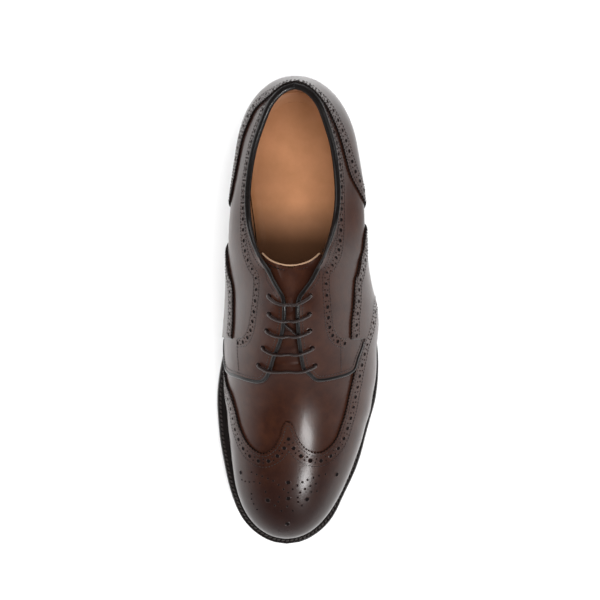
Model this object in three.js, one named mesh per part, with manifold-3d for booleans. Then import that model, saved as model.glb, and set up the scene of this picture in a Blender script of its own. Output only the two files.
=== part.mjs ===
// Full brogue derby shoe for the left foot, in millimetres, +Z up.
// The toe points along -Y, the medial side faces -X and the lateral side +X.
// The origin is on the floor, in the middle of the shoe's box.
// Stations run from the back of the heel to the toe, as shares of the outsole's length.

import * as THREE from 'three';
import { mergeVertices } from 'three/addons/utils/BufferGeometryUtils.js';
import Module from 'manifold-3d';

const wasm = await Module();
wasm.setup();

// Driving dimensions of the last and the bottom
const length = 302.5;
const ballWidth = 107;
const heelHeight = 24;
const instepHeight = 109.5;
const backHeight = 96;
const ankleHeight = 84;
const ankleDrop = 5.5;
const toeSpring = 10.5;
const studHeight = 1.2;
const clearance = 0.3;
const axisShift = 1.47;

// Places along the length
const breastEnd = 87;
const waistStart = 90;
const treadStart = 164;
const treadEnd = 224;
const heelRounding = 45;
const toeRounding = 80;
const heelOverhang = 3.4;
const toeOverhang = 6.5;
const crownRounding = 46;
const footAllowance = 1;

// Thickness of the layers
const soleThickness = 6.9;
const weltThickness = 3;
const insoleThickness = 4.4;
const wallThickness = 2;
const overlayThickness = 1.3;
const trimThickness = 1.1;
const tongueThickness = 1.8;
const topPieceThickness = 5.5;

// Small sizes of the bottom
const edgeChamfer = 1;
const weltInset = 0.4;
const heelTaper = 1.2;
const breastHollow = 7;
const studDiameter = 20;
const studRecessDiameter = 9;
const studRecessDepth = 0.9;
const studDraft = 0.5;
const studRoot = 1;
const studSides = 10;
const holeSides = 8;
const nailSides = 6;
const nailDiameter = 2.8;
const nailDepth = 1.5;

// Lace, eyelets and tongue
const laceDiameter = 2;
const eyeletDiameter = 3.4;
const laceSides = 6;
const barBow = 0.013;
const eyeletInset = 0.03;
const runOffset = 0.045;
const tongueSink = 3.8;
const facetAllowance = 0.8;
const tongueDipStart = 190;
const tongueDipEnd = 183;
const tongueFront = 0.632;
const tongueBack = 0.38;
const ridgeStart = 0.444;

// Outline of the outsole: distance from the axis to its edge on each side, before the ends are rounded
const soleOutline = [
  { at: 0, axis: -0.028, medial: 0.348, lateral: 0.355, inset: 0.068 },
  { at: 0.05, axis: -0.031, medial: 0.351, lateral: 0.361, inset: 0.07 },
  { at: 0.12, axis: -0.034, medial: 0.339, lateral: 0.369, inset: 0.064 },
  { at: 0.2, axis: -0.039, medial: 0.331, lateral: 0.387, inset: 0.054 },
  { at: 0.265, axis: -0.043, medial: 0.298, lateral: 0.393, inset: 0.045 },
  { at: 0.33, axis: -0.048, medial: 0.262, lateral: 0.404, inset: 0.038 },
  { at: 0.4, axis: -0.054, medial: 0.239, lateral: 0.427, inset: 0.034 },
  { at: 0.465, axis: -0.056, medial: 0.275, lateral: 0.467, inset: 0.04 },
  { at: 0.53, axis: -0.06, medial: 0.359, lateral: 0.52, inset: 0.06 },
  { at: 0.6, axis: -0.063, medial: 0.419, lateral: 0.548, inset: 0.074 },
  { at: 0.68, axis: -0.068, medial: 0.444, lateral: 0.539, inset: 0.08 },
  { at: 0.76, axis: -0.072, medial: 0.43, lateral: 0.486, inset: 0.084 },
  { at: 0.83, axis: -0.074, medial: 0.421, lateral: 0.46, inset: 0.086 },
  { at: 0.9, axis: -0.078, medial: 0.431, lateral: 0.437, inset: 0.088 },
  { at: 0.96, axis: -0.08, medial: 0.458, lateral: 0.458, inset: 0.088 },
  { at: 1, axis: -0.081, medial: 0.461, lateral: 0.46, inset: 0.088 },
];

// Widest line of the upper: distance from the axis on each side, and its height above the welt
const bulge = [
  { at: 0, medial: 0.305, lateral: 0.32, height: 0.19, rise: 0.36, reach: 0.36 },
  { at: 0.12, medial: 0.31, lateral: 0.34, height: 0.2, rise: 0.36, reach: 0.36 },
  { at: 0.2, medial: 0.33, lateral: 0.378, height: 0.215, rise: 0.36, reach: 0.34 },
  { at: 0.255, medial: 0.349, lateral: 0.403, height: 0.225, rise: 0.36, reach: 0.34 },
  { at: 0.38, medial: 0.364, lateral: 0.43, height: 0.235, rise: 0.32, reach: 0.28 },
  { at: 0.45, medial: 0.367, lateral: 0.464, height: 0.225, rise: 0.3, reach: 0.24 },
  { at: 0.5, medial: 0.372, lateral: 0.502, height: 0.205, rise: 0.32, reach: 0.26 },
  { at: 0.58, medial: 0.386, lateral: 0.512, height: 0.165, rise: 0.38, reach: 0.32 },
  { at: 0.64, medial: 0.385, lateral: 0.514, height: 0.145, rise: 0.44, reach: 0.38 },
  { at: 0.7, medial: 0.374, lateral: 0.495, height: 0.13, rise: 0.48, reach: 0.42 },
  { at: 0.76, medial: 0.35, lateral: 0.456, height: 0.12, rise: 0.5, reach: 0.44 },
  { at: 0.83, medial: 0.35, lateral: 0.423, height: 0.11, rise: 0.52, reach: 0.46 },
  { at: 0.9, medial: 0.37, lateral: 0.404, height: 0.1, rise: 0.54, reach: 0.48 },
  { at: 0.96, medial: 0.396, lateral: 0.402, height: 0.088, rise: 0.55, reach: 0.5 },
  { at: 1, medial: 0.41, lateral: 0.41, height: 0.078, rise: 0.55, reach: 0.5 },
];

// Top line: the collar, then the top edge of the tongue, then the ridge of the instep and vamp
const topLine = [
  { at: 0, place: 0.0385, half: 0.18, back: 1, ankle: 0, instep: 0, lean: 76 },
  { at: 0.045, place: 0.073, half: 0.192, back: 0.97, ankle: 0.015, instep: 0, lean: 74 },
  { at: 0.09, place: 0.111, half: 0.2, back: 0.8, ankle: 0.17, instep: 0, lean: 71 },
  { at: 0.18, place: 0.192, half: 0.245, back: 0.25, ankle: 0.73, instep: 0, lean: 66 },
  { at: 0.25, place: 0.256, half: 0.261, back: 0, ankle: 1, instep: 0, lean: 62 },
  { at: 0.3, place: 0.302, half: 0.252, back: 0, ankle: 0.97, instep: 0.03, lean: 58 },
  { at: 0.345, place: 0.345, half: 0.223, back: 0, ankle: 0.83, instep: 0.19, lean: 52 },
  { at: 0.375, place: 0.374, half: 0.187, back: 0, ankle: 0.6, instep: 0.41, lean: 46 },
  { at: 0.4, place: 0.391, half: 0.14, back: 0, ankle: 0.3, instep: 0.71, lean: 34 },
  { at: 0.42, place: 0.4, half: 0.082, back: 0, ankle: 0.09, instep: 0.9, lean: 18 },
  { at: 0.435, place: 0.4035, half: 0.032, back: 0, ankle: 0.01, instep: 0.975, lean: 6 },
  { at: 0.445, place: 0.405, half: 0, back: 0, ankle: 0, instep: 0.985, lean: 0 },
  { at: 0.455, place: 0.419, half: 0, back: 0, ankle: 0, instep: 0.99, lean: 0 },
  { at: 0.48, place: 0.46, half: 0, back: 0, ankle: 0, instep: 0.995, lean: 0 },
  { at: 0.51, place: 0.5, half: 0, back: 0, ankle: 0, instep: 0.957, lean: 0 },
  { at: 0.56, place: 0.55, half: 0, back: 0, ankle: 0, instep: 0.872, lean: 0 },
  { at: 0.62, place: 0.612, half: 0, back: 0, ankle: 0, instep: 0.767, lean: 0 },
  { at: 0.69, place: 0.683, half: 0, back: 0, ankle: 0, instep: 0.65, lean: 0 },
  { at: 0.76, place: 0.755, half: 0, back: 0, ankle: 0, instep: 0.571, lean: 0 },
  { at: 0.83, place: 0.826, half: 0, back: 0, ankle: 0, instep: 0.522, lean: 0 },
  { at: 0.9, place: 0.889, half: 0, back: 0, ankle: 0, instep: 0.478, lean: 0 },
  { at: 1, place: 0.9785, half: 0, back: 0, ankle: 0, instep: 0.43, lean: 0 },
];

// A smooth curve through one column of a table
function column(rows, name, at) {
  const last = rows.length - 1;
  if (at <= rows[0].at) return rows[0][name];
  if (at >= rows[last].at) return rows[last][name];
  let i = 0;
  while (rows[i + 1].at < at) i += 1;
  const slope = (k) => {
    const before = rows[Math.max(k - 1, 0)];
    const after = rows[Math.min(k + 1, last)];
    return (after[name] - before[name]) / (after.at - before.at);
  };
  const span = rows[i + 1].at - rows[i].at;
  const t = (at - rows[i].at) / span;
  const bend = t * t * (3 - 2 * t);
  const start = slope(i) * span * t * (1 - t) * (1 - t);
  const end = slope(i + 1) * span * t * t * (1 - t);
  return rows[i][name] * (1 - bend) + rows[i + 1][name] * bend + start - end;
}

// From 0 to 1 between two places, level at both ends
function ease(from, to, x) {
  const t = Math.min(Math.max((x - from) / (to - from), 0), 1);
  return t * t * (3 - 2 * t);
}

// How far an outline has opened at a share of its length, with both ends rounded
function endRounding(at) {
  const heel = Math.max(1 - (at * length) / heelRounding, 0);
  const toe = Math.max(1 - ((1 - at) * length) / toeRounding, 0);
  return Math.sqrt(Math.max(1 - heel * heel, 0)) * Math.sqrt(Math.max(1 - toe * toe, 0));
}

// Underside of the outsole above the floor: heel seat, waist, tread and toe spring
function soleBottom(place) {
  const waist = (heelHeight - studHeight) * (1 - ease(waistStart, treadStart, place));
  const beyond = Math.max((place - treadEnd) / (length - treadEnd), 0);
  return studHeight + waist + toeSpring * beyond ** 1.6;
}

function welt(place) {
  return soleBottom(place) + soleThickness + clearance;
}

function feather(place) {
  return welt(place) + weltThickness + clearance;
}

function axisAt(at) {
  return column(soleOutline, 'axis', at) * ballWidth + axisShift;
}

// Model position of a place along the shoe
function locate(x, place, z) {
  return new THREE.Vector3(x, length / 2 - place, z);
}

// A point of the outsole's outline on one side, moved inward by an amount
function outlinePoint(side, at, inward) {
  const name = side < 0 ? 'medial' : 'lateral';
  const point = (share) => {
    const half = column(soleOutline, name, share) * ballWidth * endRounding(share);
    return new THREE.Vector2(axisAt(share) + side * half, share * length);
  };
  const here = point(at);
  const step = 0.0005;
  const run = point(Math.min(at + step, 1)).sub(point(Math.max(at - step, 0)));
  if (at <= 0) run.set(side, 0);
  if (at >= 1) run.set(-side, 0);
  run.normalize();
  const normal = new THREE.Vector2(-run.y * side, run.x * side);
  return here.addScaledVector(normal, inward);
}

function featherInset(at) {
  return column(soleOutline, 'inset', at) * ballWidth;
}

function featherPoint(side, at) {
  const plan = outlinePoint(side, at, featherInset(at));
  return new THREE.Vector3(plan.x, plan.y, feather(plan.y) - footAllowance);
}

function bulgePoint(side, at) {
  const name = side < 0 ? 'medial' : 'lateral';
  const half = column(bulge, name, at) * ballWidth * endRounding(at);
  const place = heelOverhang + at * (length - heelOverhang - toeOverhang);
  const height = feather(place) + column(bulge, 'height', at) * instepHeight;
  return new THREE.Vector3(axisAt(at) + side * half, place, height);
}

function topPoint(side, at) {
  const half = column(topLine, 'half', at) * ballWidth * endRounding(at);
  const place = column(topLine, 'place', at) * length;
  const drop = side > 0 ? ankleDrop : 0;
  const level = column(topLine, 'back', at) * backHeight
    + column(topLine, 'ankle', at) * (ankleHeight - drop)
    + column(topLine, 'instep', at) * instepHeight;
  const shoulder = bulgePoint(side, at).z;
  const toe = Math.max(1 - ((1 - at) * length) / crownRounding, 0);
  const crown = (1 - toe ** 2.3) ** (1 / 2.3);
  return new THREE.Vector3(axisAt(at) + side * half, place, shoulder + (level - shoulder) * crown);
}

// Share of a section that lies below the widest line
const bulgeShare = 0.3;

// A point on the outside of the last: at runs along it, up from the welt (0) to the top line (1)
function lastPoint(side, at, up) {
  const low = featherPoint(side, at);
  const wide = bulgePoint(side, at);
  if (up <= bulgeShare) {
    const turn = (up / bulgeShare) * (Math.PI / 2);
    const out = Math.sin(turn);
    const climb = 1 - Math.cos(turn);
    return locate(
      low.x + (wide.x - low.x) * out,
      low.y + (wide.y - low.y) * out,
      low.z + (wide.z - low.z) * climb,
    );
  }
  const top = topPoint(side, at);
  const t = (up - bulgeShare) / (1 - bulgeShare);
  const lean = THREE.MathUtils.degToRad(column(topLine, 'lean', at));
  const ridge = 1 - ease(0, 30, column(topLine, 'lean', at));
  const inward = new THREE.Vector2(top.x - wide.x, (top.y - wide.y) * (1 - ridge));
  if (inward.length() > 0) inward.normalize();
  const reach = column(bulge, 'reach', at) * top.distanceTo(wide);
  const rise = column(bulge, 'rise', at) * (top.z - wide.z);
  const first = new THREE.Vector3(wide.x, wide.y, wide.z + rise);
  const second = new THREE.Vector3(
    top.x - inward.x * Math.cos(lean) * reach,
    top.y - inward.y * Math.cos(lean) * reach,
    top.z - Math.sin(lean) * reach,
  );
  const curve = new THREE.CubicBezierCurve3(wide, first, second, top);
  const point = curve.getPoint(t);
  return locate(point.x, point.y, point.z);
}

// A sheet of points and triangles, with points that fall together joined
class Sheet {
  constructor() {
    this.points = [];
    this.faces = [];
    this.known = new Map();
  }

  point(p) {
    const key = [p.x, p.y, p.z].map((value) => Math.round(value * 200)).join(' ');
    if (!this.known.has(key)) {
      this.known.set(key, this.points.length);
      this.points.push(p.clone());
    }
    return this.known.get(key);
  }

  // A grid of points, rows of equal length; flipped where its faces would point inward
  grid(rows, flipped) {
    const index = rows.map((row) => row.map((p) => this.point(p)));
    for (let i = 0; i + 1 < rows.length; i += 1) {
      for (let j = 0; j + 1 < rows[i].length; j += 1) {
        const a = index[i][j];
        const b = index[i + 1][j];
        const c = index[i + 1][j + 1];
        const d = index[i][j + 1];
        this.face(a, b, c, flipped);
        this.face(a, c, d, flipped);
      }
    }
  }

  face(a, b, c, flipped) {
    if (a === b || b === c || c === a) return;
    this.faces.push(flipped ? [a, c, b] : [a, b, c]);
  }

  normals() {
    const sums = this.points.map(() => new THREE.Vector3());
    for (const [a, b, c] of this.faces) {
      const u = this.points[b].clone().sub(this.points[a]);
      const v = this.points[c].clone().sub(this.points[a]);
      const n = u.cross(v);
      sums[a].add(n);
      sums[b].add(n);
      sums[c].add(n);
    }
    return sums.map((n) => n.normalize());
  }

  // A solid between two offsets of the sheet, each a number or a function of the point
  thicken(inner, outer) {
    const normals = this.normals();
    const count = this.points.length;
    const amount = (value, k) => (typeof value === 'number' ? value : value(this.points[k]));
    const moved = (value) => this.points.map((p, k) => (
      p.clone().addScaledVector(normals[k], amount(value, k))));
    const points = [...moved(outer), ...moved(inner)];
    const faces = [];
    const edges = new Map();
    for (const [a, b, c] of this.faces) {
      faces.push([a, b, c], [a + count, c + count, b + count]);
      for (const [from, to] of [[a, b], [b, c], [c, a]]) {
        if (edges.has(`${to} ${from}`)) edges.delete(`${to} ${from}`);
        else edges.set(`${from} ${to}`, [from, to]);
      }
    }
    for (const [from, to] of edges.values()) {
      faces.push([to, from, from + count], [to, from + count, to + count]);
    }
    return solidFrom(points, faces);
  }
}

function solidFrom(points, faces) {
  const mesh = new wasm.Mesh({
    numProp: 3,
    vertProperties: new Float32Array(points.flatMap((p) => [p.x, p.y, p.z])),
    triVerts: new Uint32Array(faces.flat()),
  });
  mesh.merge();
  return new wasm.Manifold(mesh);
}

// A solid from a closed geometry
function solidOf(geometry) {
  const bare = geometry.clone();
  bare.deleteAttribute('normal');
  bare.deleteAttribute('uv');
  const closed = mergeVertices(bare, 1e-4);
  const mesh = new wasm.Mesh({
    numProp: 3,
    vertProperties: new Float32Array(closed.attributes.position.array),
    triVerts: new Uint32Array(closed.index.array),
  });
  return new wasm.Manifold(mesh);
}

const group = new THREE.Group();

// The main body of a cut, without the crumbs that a cutter's edge may leave
function mainBody(solid) {
  return solid.decompose().sort((a, b) => b.volume() - a.volume())[0];
}

function addNode(name, solid, colour, roughness) {
  const mesh = mainBody(solid).getMesh();
  const geometry = new THREE.BufferGeometry();
  geometry.setAttribute('position', new THREE.BufferAttribute(mesh.vertProperties, 3));
  geometry.setIndex(new THREE.BufferAttribute(mesh.triVerts, 1));
  geometry.computeVertexNormals();
  const material = new THREE.MeshStandardMaterial({ color: colour, roughness, metalness: 0 });
  const node = new THREE.Mesh(geometry, material);
  node.name = name;
  group.add(node);
}

// Stations along the last: equal turns round both ends, equal steps between them
const heelSteps = 6;
const middleSteps = 13;
const bottomSteps = 26;
const toeSteps = 6;
const lowRows = 2;
const highRows = 6;
const rowCrowding = 1.3;

const heelShare = heelRounding / length;
const toeShare = toeRounding / length;

function stationsWith(middle) {
  const shares = [];
  for (let k = 0; k < heelSteps; k += 1) {
    shares.push(heelShare * (1 - Math.cos((k / heelSteps) * (Math.PI / 2))));
  }
  for (let k = 0; k <= middle; k += 1) {
    shares.push(heelShare + ((1 - heelShare - toeShare) * k) / middle);
  }
  for (let k = toeSteps - 1; k >= 0; k -= 1) {
    shares.push(1 - toeShare * (1 - Math.cos((k / toeSteps) * (Math.PI / 2))));
  }
  return shares;
}

const stations = stationsWith(middleSteps);
const bottomStations = stationsWith(bottomSteps);
const ups = [];
for (let k = 0; k < lowRows; k += 1) ups.push((bulgeShare * k) / lowRows);
for (let k = 0; k <= highRows; k += 1) {
  ups.push(bulgeShare + (1 - bulgeShare) * (1 - (1 - k / highRows) ** rowCrowding));
}

const last = new Sheet();
for (const side of [-1, 1]) {
  last.grid(stations.map((at) => ups.map((up) => lastPoint(side, at, up))), side > 0);
}

// A solid between level outlines of the bottom, each with its own inset and height
function slabBetween(rings) {
  const sheet = new Sheet();
  const loops = rings.map(({ inset, height }) => bottomStations.map((at) => [-1, 1].map((side) => {
    const plan = outlinePoint(side, at, typeof inset === 'number' ? inset : inset(at));
    return locate(plan.x, plan.y, height(plan.y));
  })));
  const top = loops.length - 1;
  for (let k = 0; k < top; k += 1) {
    sheet.grid(bottomStations.map((_, i) => [loops[k][i][0], loops[k + 1][i][0]]), false);
    sheet.grid(bottomStations.map((_, i) => [loops[k][i][1], loops[k + 1][i][1]]), true);
  }
  sheet.grid(bottomStations.map((_, i) => [loops[0][i][0], loops[0][i][1]]), true);
  sheet.grid(bottomStations.map((_, i) => [loops[top][i][0], loops[top][i][1]]), false);
  return solidFrom(sheet.points, sheet.faces);
}

// Edges of the panels, as heights up a section: rows run along the shoe
const facingEdge = [
  { at: 0.355, medial: 1.05, lateral: 1.05 },
  { at: 0.388, medial: 0.975, lateral: 0.955 },
  { at: 0.42, medial: 0.91, lateral: 0.885 },
  { at: 0.453, medial: 0.85, lateral: 0.838 },
  { at: 0.469, medial: 0.905, lateral: 0.893 },
  { at: 0.484, medial: 0.955, lateral: 0.946 },
  { at: 0.505, medial: 0.967, lateral: 0.956 },
  { at: 0.545, medial: 0.957, lateral: 0.952 },
  { at: 0.572, medial: 0.937, lateral: 0.946 },
  { at: 0.6, medial: 0.905, lateral: 0.938 },
];
const sidePanelEdge = [
  { at: 0.3, medial: 0, lateral: 0.02 },
  { at: 0.315, medial: 0.06, lateral: 0.25 },
  { at: 0.335, medial: 0.15, lateral: 0.385 },
  { at: 0.365, medial: 0.3, lateral: 0.45 },
  { at: 0.39, medial: 0.41, lateral: 0.515 },
  { at: 0.45, medial: 0.5, lateral: 0.572 },
  { at: 0.515, medial: 0.545, lateral: 0.637 },
  { at: 0.56, medial: 0.551, lateral: 0.649 },
];
const counterEdge = [
  { at: 0, medial: 0.985, lateral: 0.985 },
  { at: 0.03, medial: 0.93, lateral: 0.97 },
  { at: 0.064, medial: 0.71, lateral: 0.893 },
  { at: 0.092, medial: 0.665, lateral: 0.85 },
  { at: 0.122, medial: 0.62, lateral: 0.819 },
  { at: 0.16, medial: 0.58, lateral: 0.77 },
  { at: 0.2, medial: 0.53, lateral: 0.7 },
  { at: 0.23, medial: 0.48, lateral: 0.58 },
  { at: 0.258, medial: 0.4, lateral: 0.4 },
  { at: 0.274, medial: 0.2, lateral: 0.2 },
  { at: 0.284, medial: 0, lateral: 0 },
];
const tongueEdge = [
  { at: 0.375, medial: 0.97, lateral: 0.97 },
  { at: 0.39, medial: 0.87, lateral: 0.87 },
  { at: 0.41, medial: 0.74, lateral: 0.74 },
  { at: 0.44, medial: 0.65, lateral: 0.65 },
  { at: 0.5, medial: 0.62, lateral: 0.65 },
  { at: 0.56, medial: 0.63, lateral: 0.68 },
  { at: 0.632, medial: 0.68, lateral: 0.74 },
];

// Edges that run across the shoe: rows go up a section and hold the place along it
const wingEdge = [
  { at: -0.1, medial: 0.455, lateral: 0.46 },
  { at: 0.08, medial: 0.47, lateral: 0.462 },
  { at: 0.15, medial: 0.5, lateral: 0.463 },
  { at: 0.2, medial: 0.54, lateral: 0.464 },
  { at: 0.25, medial: 0.59, lateral: 0.465 },
  { at: 0.3, medial: 0.625, lateral: 0.466 },
  { at: 0.4, medial: 0.655, lateral: 0.478 },
  { at: 0.45, medial: 0.667, lateral: 0.499 },
  { at: 0.52, medial: 0.686, lateral: 0.548 },
  { at: 0.575, medial: 0.735, lateral: 0.592 },
  { at: 0.625, medial: 0.762, lateral: 0.64 },
  { at: 0.65, medial: 0.773, lateral: 0.7 },
  { at: 0.68, medial: 0.782, lateral: 0.76 },
  { at: 0.745, medial: 0.794, lateral: 0.79 },
  { at: 0.83, medial: 0.799, lateral: 0.798 },
  { at: 0.91, medial: 0.785, lateral: 0.784 },
  { at: 0.952, medial: 0.764, lateral: 0.762 },
  { at: 0.977, medial: 0.738, lateral: 0.738 },
  { at: 1, medial: 0.729, lateral: 0.729 },
];
const tabFront = [
  { at: 0.29, medial: 0.558, lateral: 0.558 },
  { at: 0.37, medial: 0.598, lateral: 0.558 },
  { at: 0.44, medial: 0.626, lateral: 0.558 },
  { at: 0.533, medial: 0.636, lateral: 0.559 },
  { at: 0.56, medial: 0.637, lateral: 0.578 },
  { at: 0.6, medial: 0.638, lateral: 0.602 },
  { at: 0.623, medial: 0.639, lateral: 0.622 },
  { at: 0.673, medial: 0.641, lateral: 0.632 },
  { at: 0.75, medial: 0.645, lateral: 0.638 },
  { at: 0.825, medial: 0.646, lateral: 0.642 },
  { at: 0.865, medial: 0.637, lateral: 0.641 },
  { at: 0.892, medial: 0.616, lateral: 0.63 },
  { at: 0.91, medial: 0.594, lateral: 0.624 },
  { at: 0.928, medial: 0.58, lateral: 0.616 },
  { at: 0.946, medial: 0.562, lateral: 0.572 },
  { at: 0.965, medial: 0.54, lateral: 0.535 },
];
const tabBack = 0.558;
const panelStart = 0.3;
const counterEnd = 0.284;
const seamGap = 0.001;

// Eyelets, from the top pair down: place along and height up each side's section
const eyelets = [
  { at: 0.481, medial: 0.858, lateral: 0.881 },
  { at: 0.508, medial: 0.869, lateral: 0.891 },
  { at: 0.54, medial: 0.859, lateral: 0.891 },
  { at: 0.576, medial: 0.839, lateral: 0.88 },
  { at: 0.611, medial: 0.813, lateral: 0.867 },
];

const sideName = (side) => (side < 0 ? 'medial' : 'lateral');

function edgeAt(rows, side, at) {
  return column(rows, sideName(side), at);
}

function steps(from, to, count) {
  return Array.from({ length: count + 1 }, (_, k) => from + ((to - from) * k) / count);
}

// Outward direction of the last at a point of it
function lastNormal(side, at, up) {
  const step = 0.002;
  const along = lastPoint(side, at + step, up).sub(lastPoint(side, at - step, up));
  const above = lastPoint(side, at, Math.min(up + step, 1));
  const across = above.sub(lastPoint(side, at, up - step));
  return along.cross(across).multiplyScalar(-side).normalize();
}

// A thick cutter over part of the last, for one side or both
const cutterDepth = 7;
const cutterHeight = 9;

function topLimit(at) {
  return at < ridgeStart ? 1.04 : 1;
}

function cutter(sides, rowsFor) {
  const sheet = new Sheet();
  for (const side of sides) {
    const rows = rowsFor(side).map((row) => row.map(([at, up]) => (
      lastPoint(side, at, Math.min(Math.max(up, 0), topLimit(at))))));
    sheet.grid(rows, side > 0);
  }
  return sheet.thicken(-cutterDepth, cutterHeight);
}

// Cutter below an edge that runs along the shoe
function below(rows, sides, from, to, count, lowest = 0) {
  return cutter(sides, (side) => steps(from, to, count).map((at) => {
    const top = Math.max(edgeAt(rows, side, at), 0.001);
    return steps(Math.min(lowest, top - 0.001), top, 6).map((up) => [at, up]);
  }));
}

// Cutter above an edge that runs along the shoe
function above(rows, sides, from, to, count, grown) {
  return cutter(sides, (side) => steps(from, to, count).map((at) => (
    steps(edgeAt(rows, side, at) - grown, topLimit(at), 6).map((up) => [at, up]))));
}

// Cutter ahead of an edge that crosses the shoe, grown up and back by shares
function ahead(rows, sides, count, grownUp, grownBack) {
  return cutter(sides, (side) => steps(0, 10, 10).map((_, i) => (
    steps(0, 1, count).map((up) => {
      const start = edgeAt(rows, side, up) - grownBack;
      return [start + (1 - start) * (i / 10) ** 1.4, up > 0 && up < 1 ? up + grownUp : up];
    }))));
}

// Layers of leather over the wall
const overWall = clearance;
const overlayTop = overWall + overlayThickness;
const overOverlay = overlayTop + clearance;
const trimTop = overOverlay + trimThickness;

// The wing lies on the vamp and climbs over the joint of quarter and side panel at its tails
function wingLift(point) {
  const place = length / 2 - point.y;
  return 1 - ease(tailClimbEnd, tailClimbStart, place);
}

const tailClimbEnd = 158;
const tailClimbStart = 176;
const climb = overOverlay - overWall;

// Everything under the welt's top face is cut away from the pieces that stand on it
const ground = slabBetween([
  { inset: -30, height: () => -20 },
  { inset: -30, height: (place) => feather(place) },
]);

const wall = last.thicken(-wallThickness, 0);
const overlay = last.thicken(overWall, overlayTop);
const trim = last.thicken(overOverlay, trimTop);
const wingLayer = last.thicken(
  (p) => overWall + climb * wingLift(p),
  (p) => overlayTop + (trimTop - overlayTop) * wingLift(p),
);

const seamShare = 0.006;
const wing = ahead(wingEdge, [-1, 1], 20, 0, 0);
const wingClear = ahead(wingEdge, [-1, 1], 20, seamShare, 0.002);

const leather = 0x4a2a20;
const darkLeather = 0x3a201a;

// Tongue: flush with the vamp in front, sunk under the facings to leave room for the lace
function tongueDepth(point) {
  const place = length / 2 - point.y;
  return tongueSink * (1 - ease(tongueDipEnd, tongueDipStart, place));
}

const tongueSheet = new Sheet();
for (const side of [-1, 1]) {
  tongueSheet.grid(steps(tongueBack, tongueFront - seamGap, 14).map((at) => (
    steps(edgeAt(tongueEdge, side, at), 1, 5).map((up) => lastPoint(side, at, up)))), side > 0);
}

function tongueSolid(grown) {
  return tongueSheet.thicken(
    (p) => -tongueDepth(p) - tongueThickness - grown,
    (p) => grown - tongueDepth(p),
  );
}

addNode('tongue', tongueSolid(0), leather, 0.5);

// Upper
const slot = above(tongueEdge, [-1, 1], tongueBack - seamShare, tongueFront, 14, seamShare);
const opened = wall.subtract(slot).subtract(tongueSolid(clearance));
addNode('upper', opened.subtract(ground), leather, 0.35);

// Wing cap
addNode('wing_cap', wingLayer.intersect(wing).subtract(ground), darkLeather, 0.3);

// Quarters with their facings, tabs and eyelets
const pinLength = 8;

function eyeletHole(side, row) {
  const up = row[sideName(side)];
  const at = row.at;
  const centre = lastPoint(side, at, up);
  const normal = lastNormal(side, at, up);
  const geometry = new THREE.CylinderGeometry(eyeletDiameter / 2, eyeletDiameter / 2, pinLength, holeSides);
  geometry.rotateX(Math.PI / 2);
  const pin = new THREE.Object3D();
  pin.position.copy(centre);
  pin.lookAt(centre.clone().add(normal));
  pin.updateMatrix();
  geometry.applyMatrix4(pin.matrix);
  return solidOf(geometry);
}

for (const side of [-1, 1]) {
  const rear = below(facingEdge, [side], 0.002, tabBack, 26);
  const tab = cutter([side], () => {
    const low = tabFront[0].at;
    const high = tabFront[tabFront.length - 1].at;
    return steps(0, 1, 4).map((share) => steps(low, high, 20).map((up) => {
      const front = edgeAt(tabFront, side, up);
      return [tabBack - 0.02 + (front - tabBack + 0.02) * share, up];
    }));
  });
  let quarter = overlay.intersect(rear.add(tab)).subtract(wingClear).subtract(ground);
  for (const row of eyelets) quarter = quarter.subtract(eyeletHole(side, row));
  addNode(`quarter_${sideName(side)}`, quarter, leather, 0.3);
  const panel = below(sidePanelEdge, [side], panelStart, tabBack - seamGap, 12);
  const strip = trim.intersect(panel).subtract(wingClear).subtract(ground);
  addNode(`side_panel_${sideName(side)}`, strip, darkLeather, 0.3);
}

// Counter
const counter = trim.intersect(below(counterEdge, [-1, 1], 0, counterEnd, 14)).subtract(ground);
addNode('counter', counter, darkLeather, 0.3);

// Lace: one cord through the eyelets, in bars over the facings and runs under them
class ThreadedCurve extends THREE.CatmullRomCurve3 {
  getPointAt(share, target) {
    return this.getPoint(share, target);
  }

  getTangentAt(share, target) {
    return this.getTangent(share, target);
  }
}

const laceTop = overlayTop + clearance + laceDiameter / 2 + 0.35;
const laceMiddle = 1;
const laceUnder = overWall - clearance - facetAllowance - laceDiameter / 2;

function laceSpot(side, at, up, lift) {
  return lastPoint(side, at, up).addScaledVector(lastNormal(side, at, up), lift);
}

// Points of one bar from an eyelet on one side to the other, bowed toward the toe
function bar(index, from) {
  const row = eyelets[index];
  const points = [];
  for (const side of [from, -from]) {
    const up = row[sideName(side)];
    const inside = up + eyeletInset;
    const spots = [
      laceSpot(side, row.at, up, laceUnder - 0.15),
      laceSpot(side, row.at, up, (overWall + overlayTop) / 2),
      laceSpot(side, row.at, up + 0.006, laceTop - 0.1),
      laceSpot(side, row.at + barBow * 0.35, inside, laceTop),
      laceSpot(side, row.at + barBow * 0.7, inside + 0.035, laceTop),
      laceSpot(side, row.at + barBow * 0.95, (inside + 0.035 + 1) / 2, (laceTop + laceMiddle) / 2),
    ];
    points.push(...(side === from ? spots : spots.reverse()));
  }
  points.splice(6, 0, laceSpot(from, row.at + barBow, 1, laceMiddle));
  return points;
}

// Points of a run under a facing, from one eyelet to another on the same side
function run(side, fromRow, toRow) {
  const from = eyelets[fromRow];
  const to = eyelets[toRow];
  const name = sideName(side);
  return [0.2, 0.5, 0.8].map((t) => {
    const at = from.at + (to.at - from.at) * t;
    const up = from[name] + (to[name] - from[name]) * t - runOffset * Math.sin(Math.PI * t);
    return laceSpot(side, at, up, laceUnder);
  });
}

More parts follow.
